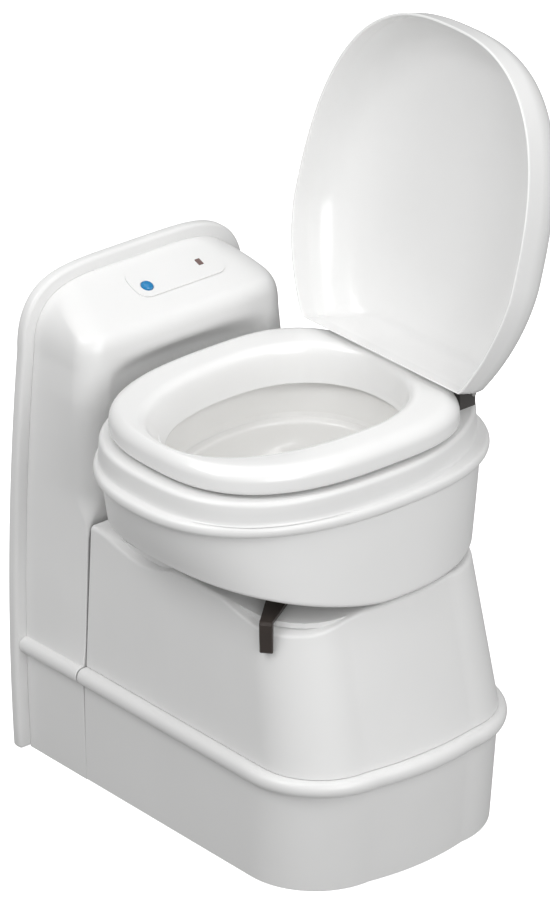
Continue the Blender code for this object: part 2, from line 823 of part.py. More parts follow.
def bowl_casing():
    """The bowl's outer shell: flat underneath at the rear, rising towards its front."""
    shares = (0.0, 0.04, 0.25, 0.5, 0.75, 1.0)

    def skin(inset, low, high):
        rings = []
        for share in shares:
            rounding = 0.005 if share == 0.0 else 0.0
            left = BOWL_RISE * (1 - share) ** 1.4
            z = low + (high - low) * share
            ring = casing_section(share, inset + rounding, z, left)
            if share == 0.0:
                for scale in (0.30, 0.55, 0.78):
                    rings.append(bottom_ring(inset + rounding, z, scale))
            rings.append(ring)
        return loft(rings)

    shell = cut(skin(0.0, BOWL_LOW, RIM_LOW - GAP), skin(WALL, BOWL_LOW + WALL, RIM_LOW + 0.004))
    bore = rod((0, 0, BOWL_LOW - 0.01), (0, 0, BOWL_LOW + 0.03), SWIVEL_NECK_R + 0.0006, sides=48)
    return cut(shell, bore)


def bowl_rim():
    """The rim moulding: a round lip, the step above it and the opening under the seat."""
    lip = (
        (0.2500, 0.2196, 0.1891, RIM_LOW),
        (0.2540, 0.2238, 0.1933, RIM_LOW + 0.0022),
        (0.2556, 0.2254, 0.1949, RIM_LOW + 0.0062),
        (0.2550, 0.2248, 0.1943, LIP_HIGH - 0.0040),
        (0.2520, 0.2230, 0.1913, LIP_HIGH - 0.0010),
    )
    step = (
        (0.2440, 0.2340, 0.1870, LIP_HIGH),
        (0.2430, 0.2330, 0.1860, LIP_HIGH + 0.0016),
        (0.2420, 0.2320, 0.1850, LIP_HIGH + 0.0050),
        (0.2410, 0.2310, 0.1840, RIM_HIGH - 0.0050),
        (0.2385, 0.2285, 0.1815, RIM_HIGH - 0.0012),
        (0.2345, 0.2245, 0.1775, RIM_HIGH),
    )
    opening = (
        (0.1860, 0.1430, 0.1310, RIM_HIGH),
        (0.1830, 0.1400, 0.1280, RIM_HIGH - 0.0020),
        (0.1830, 0.1400, 0.1280, 0.4985),
        (0.1860, 0.1430, 0.1330, 0.4985),
        (0.1860, 0.1430, 0.1330, RIM_HIGH - 0.0040),
        (0.2320, 0.2060, 0.1750, RIM_HIGH - 0.0040),
        (0.2340, 0.2080, 0.1770, RIM_LOW),
    )
    rings = [egg(f, r, b, z, 2.31, 2.61) for f, r, b, z in lip]
    rings += [egg(f, r, b, z, 2.6, 2.05) for f, r, b, z in step]
    rings += [egg(f, r, b, z, 2.3, 2.2) for f, r, b, z in opening]
    return loft(rings, closed=True)


LINER_SECTIONS = (
    (0.1850, 0.1430, 0.1320, 0.4982),
    (0.1820, 0.1400, 0.1290, 0.4820),
    (0.1740, 0.1280, 0.1230, 0.4500),
    (0.1520, 0.1080, 0.1070, 0.4180),
    (0.1150, 0.0860, 0.0860, 0.3920),
    (0.0780, 0.0680, 0.0680, 0.3730),
    (0.0560, 0.0540, 0.0540, 0.3640),
)


def bowl_liner():
    """The basin, drawn in to the round neck that opens over the tank's inlet."""
    rings = [egg(f, r, b, z, 2.15, 2.15) for f, r, b, z in LINER_SECTIONS]
    for z in (0.3585, NECK_LOW):
        rings.append(egg(SWIVEL_NECK_R, SWIVEL_NECK_R, SWIVEL_NECK_R, z, 2.0, 2.0))
    for z in (NECK_LOW, 0.3605):
        rings.append(egg(NECK_BORE_R, NECK_BORE_R, NECK_BORE_R, z, 2.0, 2.0))
    skin = 0.0025
    for f, r, b, z in reversed(LINER_SECTIONS):
        lift = 0.0028 if z < 0.40 else (0.0016 if z < 0.45 else 0.0)
        rings.append(egg(f - skin, r - skin, b - skin, z + lift, 2.15, 2.15))
    return loft(rings, closed=True)


piece("bowl_casing", bowl_casing(), "shell_white", (0, 0, BOWL_LOW), SWIVEL)
piece("bowl_rim", bowl_rim(), "shell_white", (0, 0, BOWL_LOW), SWIVEL)
piece("bowl_liner", bowl_liner(), "liner_white", (0, 0, BOWL_LOW), SWIVEL)
retainer = [(0.0620, 0.3340), (0.0620, 0.3275), (0.0480, 0.3275), (0.0480, 0.3340)]
piece("swivel_retainer", turned(retainer), "valve_grey", (0, 0, BOWL_LOW), SWIVEL)


def flush_nozzle():
    """The spray head inside the basin's wall, under the rim, with its outlet slot."""
    head = softened(box((-0.0180, -0.1252, 0.4800), (0.0180, -0.1090, 0.4940)), 0.003, 2)
    slot = box((-0.0140, -0.1170, 0.4850), (0.0140, -0.1070, 0.4880))
    return cut(head, slot)


piece("flush_nozzle", flush_nozzle(), "liner_white", (0, 0, BOWL_LOW), SWIVEL)

PIN_R = 0.0033
PIN_BORE_R = 0.0037


def hinge_bore(low_y, high_y):
    return rod((HINGE_X, low_y, HINGE_Z), (HINGE_X, high_y, HINGE_Z), PIN_BORE_R, sides=20)


def hinge_bracket(side):
    """A cheek that stands on the rim and holds the pin."""
    low_y, high_y = sorted((side * 0.0980, side * 0.1090))
    foot = box((HINGE_X - 0.0125, low_y, RIM_HIGH + GAP), (HINGE_X + 0.0125, high_y, HINGE_Z))
    head = rod((HINGE_X, low_y, HINGE_Z), (HINGE_X, high_y, HINGE_Z), 0.0095, sides=32)
    cheek = cut(join(foot, head), hinge_bore(-0.2, 0.2))
    return cheek


def hinge_pin(side):
    return rod(
        (HINGE_X, side * 0.0740, HINGE_Z), (HINGE_X, side * 0.1210, HINGE_Z), PIN_R, sides=16
    )


for side, word in ((1, "left"), (-1, "right")):
    piece(f"hinge_bracket_{word}", hinge_bracket(side), "hinge_grey", (0, 0, BOWL_LOW), SWIVEL)
    piece(f"hinge_pin_{word}", hinge_pin(side), "steel", (0, 0, BOWL_LOW), SWIVEL)

# ---------------------------------------------------------------- seat
HINGE_PLACE = Vector((HINGE_X, 0.0, HINGE_Z))
SEAT_HINGE = joint_empty("seat_hinge", HINGE_PLACE)


def seat_ring():
    """The seat: a rounded ring whose inner wall drops into the rim's opening, with the pins' hub behind."""
    outside = (
        (0.0042, 0.0042, SEAT_LOW),
        (0.0008, 0.0008, SEAT_LOW + 0.0030),
        (0.0, 0.0, SEAT_LOW + 0.0090),
        (0.0015, 0.0020, SEAT_LOW + 0.0170),
        (0.0040, 0.0060, SEAT_HIGH - 0.0080),
        (0.0068, 0.0120, SEAT_HIGH - 0.0030),
        (0.0095, 0.0200, SEAT_HIGH),
    )
    inside = (
        (0.2125, 0.1450, 0.1315, SEAT_HIGH - 0.0006),
        (0.2080, 0.1400, 0.1255, SEAT_HIGH - 0.0026),
        (0.2035, 0.1370, 0.1215, SEAT_HIGH - 0.0065),
        (0.1990, 0.1350, 0.1195, SEAT_HIGH - 0.0130),
        (0.1900, 0.1335, 0.1185, SEAT_HIGH - 0.0230),
        (0.1800, 0.1320, 0.1180, SEAT_HIGH - 0.0340),
        (0.1720, 0.1310, 0.1172, SEAT_HIGH - 0.0450),
        (0.1700, 0.1300, 0.1165, SEAT_HIGH - 0.0490),
        (0.1715, 0.1315, 0.1180, SEAT_HIGH - 0.0505),
        (0.1745, 0.1345, 0.1210, SEAT_HIGH - 0.0490),
        (0.1770, 0.1360, 0.1225, SEAT_LOW - 0.0023),
        (0.1800, 0.1390, 0.1255, SEAT_LOW),
    )
    rings = [
        egg(0.2255 - tip, 0.1650 - 0.6 * i, 0.1762 - i, z, 2.7 - 8 * i, 3.2 - 14 * i)
        for tip, i, z in outside
    ]
    rings += [egg(f, r, b, z, 2.3, 2.2) for f, r, b, z in inside]
    ring = loft(rings, closed=True)
    hub = softened(box((0.1450, -0.0860, 0.5170), (0.1840, 0.0860, 0.5435)), 0.0045, 3)
    return cut(join(ring, hub), hinge_bore(-0.2, 0.2))


piece("seat_ring", seat_ring(), "seat_white", HINGE_PLACE, SEAT_HINGE)
SEAT_BUMPERS = ((-0.2050, 0.0300), (-0.2050, -0.0300), (0.0750, 0.1500), (0.0750, -0.1500))
for number, (x, y) in enumerate(SEAT_BUMPERS):
    stud = rod((x, y, RIM_HIGH + GAP), (x, y, SEAT_LOW - GAP), 0.0060, 0.0066, sides=20)
    piece(f"seat_bumper_{number + 1}", stud, "hinge_grey", HINGE_PLACE, SEAT_HINGE)

# ---------------------------------------------------------------- lid
LID_OPEN = 90.0 + LID_LEAN
LID_HINGE = joint_empty("lid_hinge", HINGE_PLACE)
LID_TURN = (
    Matrix.Translation(HINGE_PLACE)
    @ Matrix.Rotation(math.radians(LID_OPEN), 4, "Y")
    @ Matrix.Translation(-HINGE_PLACE)
)
LID_LEVELS = (
    (0.0000, 0.5060),
    (0.0015, 0.5180),
    (0.0050, 0.5290),
    (0.0120, 0.5400),
    (0.0240, 0.5500),
    (0.0450, 0.5570),
    (0.0750, LID_HIGH),
)


def lid_outline(inset, z, clip):
    return egg(0.2680 - inset, 0.2450 - inset, 0.1970 - inset, z, 2.6, 1.7, clip=clip, centre=0.020)


def lid_shell():
    """The deep lid, modelled shut: its wall drops past the seat and gets shallower at the rear."""

    def low_edge(x):
        share = min(max((x - 0.0800) / 0.0950, 0.0), 1.0)
        return LID_LOW + 0.0300 * share * share * (3 - 2 * share)

    rim = [(x, y, low_edge(x)) for x, y, _ in lid_outline(0.0, 0.0, LID_REAR)]
    outer = [rim]
    for inset, z in LID_LEVELS[1:]:
        outer.append(lid_outline(inset, z, LID_REAR - 0.3 * inset))
    shell = loft(outer)
    beyond = LID_REAR + 0.2
    inner = [lid_outline(WALL, 0.45, beyond), lid_outline(WALL, LID_LEVELS[0][1], beyond)]
    for inset, z in LID_LEVELS[1:]:
        inner.append(lid_outline(inset + WALL, z - WALL, beyond))
    shell = cut(shell, loft(inner))
    for side in (1, -1):
        low_y, high_y = sorted((side * 0.1125, side * 0.1190))
        web = box((0.1300, low_y, 0.5260), (HINGE_X, high_y, 0.5535))
        web = cut(web, box((0.1200, low_y - 0.01, 0.5150), (0.1590, high_y + 0.01, 0.5478)))
        ear = rod((HINGE_X, low_y, HINGE_Z), (HINGE_X, high_y, HINGE_Z), 0.0085, sides=32)
        shell = join(shell, join(web, ear))
    return cut(shell, hinge_bore(-0.2, 0.2))


piece("lid_shell", placed(lid_shell(), LID_TURN), "seat_white", HINGE_PLACE, LID_HINGE)

# ---------------------------------------------------------------- valve lever
LEVER_HUB = joint_empty("lever_turn", (0.0, 0.0, LEVER_LOW))


def spin(degrees):
    return Matrix.Rotation(math.radians(degrees), 4, "Z")


def blade_lever():
    """A flat ring under the bowl, its arm and handle outside, and the dog that turns the valve."""
    ring = prism(circle(0.0865), LEVER_LOW, LEVER_HIGH - 0.0006, holes=(circle(0.0684),))
    arm = prism(
        [(0.0840, -0.0160), (0.1500, -0.0100), (0.2180, -0.0075),
         (0.2180, 0.0075), (0.1500, 0.0180), (0.0840, 0.0260)],
        LEVER_LOW,
        LEVER_HIGH - 0.0006,
    )
    blade = [(0.2128, 0.3090), (0.2150, 0.3065), (0.2176, 0.3080), (0.2212, 0.3360),
             (0.2212, 0.3460), (0.2182, LEVER_HIGH - 0.0006), (0.2096, LEVER_HIGH - 0.0006),
             (0.2096, LEVER_LOW), (0.2104, 0.3430)]
    handle = softened(prism(blade, -0.0080, 0.0080, frame=UPRIGHT), 0.0012, 1, 50.0)
    lever = join(ring, placed(join(arm, handle), spin(LEVER_ANGLE)))
    dog = rod((DOG_R, 0, 0.2832), (DOG_R, 0, LEVER_LOW + 0.0010), 0.0033, sides=16)
    return join(lever, placed(dog, spin(DOG_ANGLE)))


piece("blade_lever", blade_lever(), "lever_brown", (0, 0, LEVER_LOW), LEVER_HUB)

# ---------------------------------------------------------------- waste tank
TANK = joint_empty("tank_slide", (0.0, TANK_BACK, 0.1500))
TANK_PLACE = (0.0, TANK_BACK, 0.1500)
SPOUT_AT = (0.0600, 0.2350)
SPOUT_OUT_Y = 0.2865
VENT_AT = (-0.1050, 0.2150)
WHEEL_AT = (-0.1450, 0.0257)
GRIP_AT = (0.2615, 0.1250)


def tank_body():
    """The hollow tank: raised over the wheels, with bores for the inlet, spout and vent."""
    body = prism(rounded(-TANK_HALF, TANK_FRONT, TANK_HALF, TANK_BACK, 0.062), TANK_LOW, TANK_HIGH)
    body = softened(body, 0.0060, 2, 60.0)
    body = cut(body, box((-0.16, TANK_FRONT - 0.01, 0.0), (0.16, -0.1150, 0.0520)))
    inset = 0.0030
    high = prism(
        rounded(-TANK_HALF + inset, TANK_FRONT + inset, TANK_HALF - inset, TANK_BACK - inset, 0.059),
        0.0550,
        TANK_HIGH - inset,
    )
    low = prism(
        rounded(-TANK_HALF + inset, -0.1120, TANK_HALF - inset, TANK_BACK - inset, 0.030),
        TANK_LOW + inset,
        0.0600,
    )
    body = cut(body, join(high, low))
    body = cut(body, rod((0, 0, 0.26), (0, 0, 0.29), INLET_R, sides=48))
    x, z = SPOUT_AT
    body = cut(body, rod((x, 0.24, z), (x, 0.27, z), 0.0140, sides=32))
    x, z = VENT_AT
    body = cut(body, rod((x, 0.24, z), (x, 0.27, z), 0.0066, sides=24))
    axle_y, axle_z = WHEEL_AT
    for side in (1, -1):
        low_x, high_x = sorted((side * 0.0950, side * 0.1040))
        ear = box((low_x, axle_y - 0.0100, 0.0180), (high_x, axle_y + 0.0100, 0.0530))
        body = join(body, ear)
        low_x, high_x = sorted((side * 0.0450, side * 0.0520))
        grip_y, grip_z = GRIP_AT
        ear = box((low_x, TANK_BACK - 0.0010, grip_z - 0.0070), (high_x, 0.2680, grip_z + 0.0070))
        body = join(body, ear)
        bore = rod((side * 0.0440, grip_y, grip_z), (side * 0.0600, grip_y, grip_z), 0.0036, sides=16)
        body = cut(body, bore)
    return cut(body, rod((-0.12, axle_y, axle_z), (0.12, axle_y, axle_z), 0.0045, sides=20))


def valve_housing():
    """The cover over the blade and its gear, open under and at the front for the dog's way out."""
    low_x, high_x, low_y, high_y = -0.0870, 0.0955, -0.1465, 0.1720
    shell = prism(rounded(low_x, low_y, high_x, high_y, 0.010), TANK_HIGH + GAP, COVER_HIGH)
    inset = 0.0025
    hollow = prism(
        rounded(low_x + inset, low_y + inset, high_x - inset, high_y - inset, 0.008),
        TANK_HIGH - 0.005,
        COVER_LOW,
    )
    shell = cut(shell, hollow)
    shell = cut(shell, rod((0, 0, 0.27), (0, 0, 0.30), 0.0470, sides=48))
    shell = cut(shell, prism(sector(0.0682, 0.0772, 139.0, 221.0), 0.2860, 0.2960))
    shell = cut(shell, box((-0.0647, low_y - 0.01, BLADE_HIGH), (-0.0545, -0.0360, 0.2960)))
    for side in (1, -1):
        near, far = side * 0.0530, side * 0.0605
        low, high = sorted((near, far))
        shell = join(shell, box((low, 0.0600, COVER_HIGH - 0.001), (high, 0.1700, 0.2983)))
        low, high = sorted((side * 0.0554, far))
        shell = join(shell, box((low, 0.0600, 0.2980), (high, 0.1700, 0.3015)))
        low, high = sorted((near, far))
        shell = join(shell, box((low, 0.0600, 0.3012), (high, 0.1700, 0.3026)))
    return shell


def involute(angle):
    return math.tan(angle) - angle


def gear_tooth(centre):
    """One external tooth, its flanks involute, drawn about an angle in degrees."""
    pressure = math.radians(PRESSURE_ANGLE)
    base_r = PITCH_R * math.cos(pressure)
    half_pitch = math.pi / 2 / TOOTH_COUNT - BACKLASH / 2 / PITCH_R
    tip = PITCH_R + 0.0034
    radii = [base_r + 0.00005 + (tip - base_r - 0.00005) * i / 3 for i in range(4)]
    flank = []
    for radius in radii:
        turn = half_pitch + involute(pressure) - involute(math.acos(base_r / radius))
        flank.append((radius, turn))
    flank.insert(0, (0.0700, flank[0][1]))
    middle = math.radians(centre)
    one = [(r * math.cos(middle - t), r * math.sin(middle - t)) for r, t in flank]
    two = [(r * math.cos(middle + t), r * math.sin(middle + t)) for r, t in reversed(flank)]
    return one + two


def valve_rotor():
    """The ring round the inlet: teeth for the rack, and the notch that the lever's dog turns."""
    ring = prism(circle(0.0711, count=48), ROTOR_LOW, ROTOR_HIGH, holes=(circle(0.0600),))
    lug = prism(sector(0.0640, 0.0800, DOG_ANGLE - 8.5, DOG_ANGLE + 8.5, 8), ROTOR_LOW, ROTOR_HIGH)
    ring = join(ring, lug)
    for number in range(-1, 10):
        outline = gear_tooth(number * 360.0 / TOOTH_COUNT)
        ring = join(ring, prism(outline, ROTOR_LOW, ROTOR_HIGH))
    x = DOG_R * math.cos(math.radians(DOG_ANGLE))
    y = DOG_R * math.sin(math.radians(DOG_ANGLE))
    notch = box((x - 0.0039, y - 0.05, ROTOR_LOW - 0.01), (x + 0.0039, y + 0.0039, ROTOR_HIGH + 0.01))
    return cut(ring, notch)


def valve_blade():
    """The sliding plate that shuts the inlet, with the rack that the rotor drives."""
    plate = prism(rounded(-0.0500, -0.0475, 0.0500, 0.0475, 0.012), BLADE_LOW, BLADE_HIGH)
    pitch = 2 * math.pi * PITCH_R / TOOTH_COUNT
    first, last = -1.0 * pitch, 8.0 * pitch
    arm = box((0.0480, -0.0120, BLADE_LOW), (0.0885, last, BLADE_HIGH))
    blade = join(plate, arm)
    root_x, tip_x = PITCH_R + 0.0042, PITCH_R - 0.0032
    bar = [(0.0885, first), (0.0885, last), (root_x, last)]
    slope = math.tan(math.radians(PRESSURE_ANGLE))
    half = pitch / 4 - BACKLASH / 4
    for number in range(7, -2, -1):
        middle = (number + 0.5) * pitch
        at_root = half + (root_x - PITCH_R) * slope
        at_tip = half - (PITCH_R - tip_x) * slope
        bar += [(root_x, middle + at_root), (tip_x, middle + at_tip)]
        bar += [(tip_x, middle - at_tip), (root_x, middle - at_root)]
    bar.append((root_x, first))
    rack = prism(bar, BLADE_HIGH - 0.0010, ROTOR_HIGH)
    rack = cut(rack, box((0.0, -0.1, BLADE_HIGH - 0.002), (0.0795, 0.2, ROTOR_LOW)))
    return join(blade, rack)


piece("tank_body", tank_body(), "tank_grey", TANK_PLACE, TANK)
piece("valve_housing", valve_housing(), "valve_grey", TANK_PLACE, TANK)
piece("valve_rotor", valve_rotor(), "cap_orange", (0, 0, ROTOR_LOW), joint_empty("rotor_turn", (0, 0, ROTOR_LOW)))
piece("valve_blade", valve_blade(), "valve_grey", (0, 0, BLADE_LOW), joint_empty("blade_slide", (0, 0, BLADE_LOW)))
seal = [(0.0540, 0.2950), (0.0540, COVER_HIGH + GAP), (0.0475, COVER_HIGH + GAP),
        (0.0475, 0.2980), (0.0495, 0.2982)]
piece("lip_seal", turned(seal), "rubber_black", TANK_PLACE, TANK)


def sliding_cover():
    """The plate that closes over the seal when the tank is out; stored open towards the wall."""
    plate = prism(rounded(-0.0550, 0.0560, 0.0550, 0.1685, 0.004), 0.2986, 0.3008)
    grip = box((-0.030, 0.1600, 0.3004), (0.030, 0.1640, 0.3014))
    return join(plate, grip)


COVER_PLACE = (0.0, 0.1120, 0.3000)
piece("sliding_cover", sliding_cover(), "tank_grey", COVER_PLACE, joint_empty("cover_slide", COVER_PLACE))


def spout_path(extra):
    """The spout's centre line: out of the tank's end, round a bend and along the end face."""
    x, z = SPOUT_AT
    bend = SPOUT_OUT_Y - 0.2700
    points = [(x, 0.2556 - extra, z), (x, 0.2700, z)]
    for i in range(1, 7):
        a = math.pi / 2 * i / 6
        points.append((x - bend * (1 - math.cos(a)), 0.2700 + bend * math.sin(a), z))
    points.append((-0.0180 - extra, SPOUT_OUT_Y, z))
    return points


def pour_spout():
    x, z = SPOUT_AT
    pipe = tube(spout_path(0.0), 0.0163, 3)
    collar = turned([(0.0220, 0.2600), (0.0220, 0.2556), (0.0120, 0.2556), (0.0120, 0.2600)],
                    28, (x, 0.0, z), "Y")
    return cut(join(pipe, collar), tube(spout_path(0.01), 0.0136, 3))


def spout_cap():
    """A screw cap that also measures out the additive."""
    profile = [(0.0, 0.0180), (0.0185, 0.0180), (0.0195, 0.0165), (0.0195, 0.0),
               (0.0172, 0.0), (0.0172, 0.0155), (0.0, 0.0155)]
    cap = turned(profile, 30)
    for i in range(10):
        a = 2 * math.pi * i / 10
        px, py = 0.0192 * math.cos(a), 0.0192 * math.sin(a)
        cap = join(cap, rod((px, py, 0.0010), (px, py, 0.0160), 0.0010, sides=8))
    turn = Matrix.Rotation(-math.pi / 2, 4, "Y")
    return placed(cap, Matrix.Translation((-0.0175, SPOUT_OUT_Y, SPOUT_AT[1])) @ turn)


SPOUT_PLACE = (SPOUT_AT[0], 0.2600, SPOUT_AT[1])
CAP_PLACE = (-0.0180, SPOUT_OUT_Y, SPOUT_AT[1])
piece("pour_spout", pour_spout(), "tank_grey", SPOUT_PLACE, joint_empty("spout_turn", SPOUT_PLACE))
piece("spout_cap", spout_cap(), "cap_orange", CAP_PLACE, joint_empty("spout_cap_turn", CAP_PLACE))


def vent_button():
    x, z = VENT_AT
    profile = [(0.0, 0.2650), (0.0075, 0.2645), (0.0090, 0.2630), (0.0090, 0.2592),
               (0.0060, 0.2592), (0.0060, 0.2470), (0.0, 0.2470)]
    return turned(profile, 28, (x, 0.0, z), "Y")


VENT_PLACE = (VENT_AT[0], 0.2600, VENT_AT[1])
piece("vent_button", vent_button(), "cap_orange", VENT_PLACE, joint_empty("vent_push", VENT_PLACE))


def carry_handle():
    """A bail that hangs flat on the tank's end, its ends turned in to the ears."""
    y, z = GRIP_AT
    run = [(0.0460, y, z), (0.0620, y, z), (0.0640, y, z - 0.0030), (0.0640, y, z - 0.0560),
           (0.0620, y, z - 0.0620), (0.0560, y, z - 0.0640)]
    path = run + [(-px, py, pz) for px, py, pz in reversed(run)]
    return tube(path, 0.0032, 2)


GRIP_PLACE = (0.0, *GRIP_AT)
piece("carry_handle", carry_handle(), "valve_grey", GRIP_PLACE, joint_empty("handle_turn", GRIP_PLACE))


def tank_wheel(side):
    """A solid wheel with a bore, a raised tread and a dished face."""
    low, high = 0.1165, 0.1335
    profile = [(0.0205, high), (0.0222, high - 0.0020), (0.0222, low + 0.0020), (0.0205, low),
               (0.0044, low), (0.0044, high), (0.0070, high), (0.0085, high - 0.0040),
               (0.0165, high - 0.0040), (0.0180, high)]
    y, z = WHEEL_AT
    wheel = turned([(r, side * h) for r, h in profile], 24)
    return placed(wheel, Matrix.Translation((0.0, y, z)) @ Matrix.Rotation(math.pi / 2, 4, "Y"))


axle = rod((-0.1370, *WHEEL_AT), (0.1370, *WHEEL_AT), 0.0040, sides=20)
piece("wheel_axle", axle, "steel", TANK_PLACE, TANK)
for side, word in ((1, "right"), (-1, "left")):
    place = (side * 0.1250, *WHEEL_AT)
    piece(f"tank_wheel_{word}", tank_wheel(side), "rubber_black", place, joint_empty(f"wheel_turn_{word}", place))


# ---------------------------------------------------------------- tank latch
def tank_latch():
    """The catch behind the tank, stored down: a plate on a pin between the tray's ears."""
    y, z = 0.2620, 0.0072
    pin = rod((-0.0195, y, z), (0.0195, y, z), 0.0018, sides=14)
    hub = rod((-0.0145, y, z), (0.0145, y, z), 0.0034, sides=20)
    plate = box((-0.0140, y, z - 0.0028), (0.0140, y + 0.0300, z + 0.0012))
    return join(join(hub, pin), plate)


LATCH_PLACE = (0.0, 0.2620, 0.0072)
piece("tank_latch", tank_latch(), "cap_orange", LATCH_PLACE, joint_empty("latch_turn", LATCH_PLACE))
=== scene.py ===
"""Looks of a cassette toilet: smooth shells, seat, lid, materials, studio light and camera."""

import json
import math

import bmesh
import bpy
from mathutils import Matrix, Vector


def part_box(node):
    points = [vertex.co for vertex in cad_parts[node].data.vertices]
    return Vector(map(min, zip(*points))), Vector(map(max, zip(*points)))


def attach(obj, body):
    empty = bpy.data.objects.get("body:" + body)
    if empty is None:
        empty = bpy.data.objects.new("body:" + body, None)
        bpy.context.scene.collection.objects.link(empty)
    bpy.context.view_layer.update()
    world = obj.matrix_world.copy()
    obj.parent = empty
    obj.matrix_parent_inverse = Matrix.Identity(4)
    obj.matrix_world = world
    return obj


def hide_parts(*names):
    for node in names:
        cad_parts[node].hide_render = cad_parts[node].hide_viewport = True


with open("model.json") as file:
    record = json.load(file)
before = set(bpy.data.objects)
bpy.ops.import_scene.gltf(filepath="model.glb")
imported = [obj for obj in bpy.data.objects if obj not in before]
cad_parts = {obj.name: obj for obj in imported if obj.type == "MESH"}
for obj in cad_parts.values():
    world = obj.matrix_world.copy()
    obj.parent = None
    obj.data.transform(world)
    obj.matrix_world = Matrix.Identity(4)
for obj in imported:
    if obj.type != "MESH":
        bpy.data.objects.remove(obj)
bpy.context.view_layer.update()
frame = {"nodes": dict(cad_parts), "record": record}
JOINTS = {joint["name"]: joint for joint in frame["record"]["behaviour"]["joints"]}

# ---------------------------------------------------------------- sizes, from the frame
WALL = 0.0030
THIN_WALL = 0.0025
THINNEST_WALL = 0.0022
GAP = 0.0003
FLANGE_LOW, FLANGE_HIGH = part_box("wall_flange")
CASING_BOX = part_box("upper_casing")
RIM_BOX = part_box("bowl_rim")
BOWL_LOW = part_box("bowl_casing")[0][2]
FLANGE_Y = FLANGE_LOW[1]
BACK_Y = FLANGE_HIGH[1]
HEIGHT = FLANGE_HIGH[2]
FLANGE_HALF = 0.1935
FLANGE_BULGE = 0.1400
FLANGE_WAIST_Z = 0.1600
SHOULDER_Z = 0.5373
ARCH_SIDE = 0.42
ARCH_TOP = 0.86
BAY_HALF = 0.1575
BAY_TOP = 0.3080
BAY_CUT_TOP = 0.3270
FILLER_AT = (0.0850, 0.4800)
FILLER_R = 0.0240

SEAM_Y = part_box("console_shell")[0][1]
CONSOLE_INSET = 0.0155
CONSOLE_LEAN = 0.017
CONSOLE_EDGE_R = 0.030
RECESS_R = 0.2370
RECESS_Z = 0.3460
RECESS_FADE = (0.5130, 0.5500)
EDGE_FADE = (0.3300, 0.3800)
TOP_ROUND_Z = 0.5600
TOP_ROUND_Y = 0.0126
TOP_ROUND_H = 0.0225
TOP_SLOPE = 0.393

SKIRT_HALF = 0.1748
SKIRT_FRONT = -0.2296
SKIRT_CORNER = 0.1020
SKIRT_BOW = 0.0080
SKIRT_FLARE = 0.0012
SKIRT_LEAN = 0.0104
BELT_LOW = 0.1350
BELT_HIGH = 0.1560
BELT_PROUD = 0.0115
CASING_LOW = CASING_BOX[0][2]
CASING_TOP = CASING_BOX[1][2]
CASING_LOW_HALF = 0.1725
CASING_TOP_HALF = 0.1620
CASING_LOW_FRONT = -0.2360
CASING_TOP_FRONT = -0.1900
CASING_CORNER = 0.0874
WELL_R = 0.1420

NECK_R = 0.0475
NECK_BORE_R = 0.0445
NECK_LOW = 0.3015
BOWL_FOOT_PLAN = (0.2200, 0.2079, 0.2010)
BOWL_SPREAD = (0.0250, 0.0091, -0.0100)
BOWL_FOOT_ROUND = 0.0060
BOWL_FOOT_HIGH = 0.0050
BOWL_RISE = 0.0407
RISE_END = 0.2180
FLAT_REACH = 0.0300
RISE_POWER = 1.27
RIM_LOW = RIM_BOX[0][2]
RIM_HIGH = RIM_BOX[1][2]
LIP_HIGH = 0.4810
LIP_ROUND = 0.0062
LIP_PLAN = (0.2556, 0.2254, 0.1949)
LIP_POWERS = (2.31, 2.61)
STEP_ROUND = 0.0060
STEP_PLAN = (0.2414, 0.2314, 0.1844)
STEP_POWERS = (2.6, 2.05)
HOLE_POWERS = (2.3, 2.2)
SEAT_LOW = 0.5148
SEAT_PLAN = (0.2255, 0.1650, 0.1762)
TONGUE_REAR = 0.1840
TONGUE_HALF = 0.0890
SEAT_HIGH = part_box("seat_ring")[1][2]
HINGE = Vector(JOINTS["lid_hinge"]["pos_m"])
LID_OPEN = math.radians(JOINTS["lid_hinge"]["range_deg"][1])
LID_LOW = 0.4815
LID_HIGH = 0.5600
LID_REAR = 0.1650
LID_PLAN = (0.2680, 0.2450, 0.1970)
LID_CENTRE = 0.020
LID_WALL_TOP = 0.5060


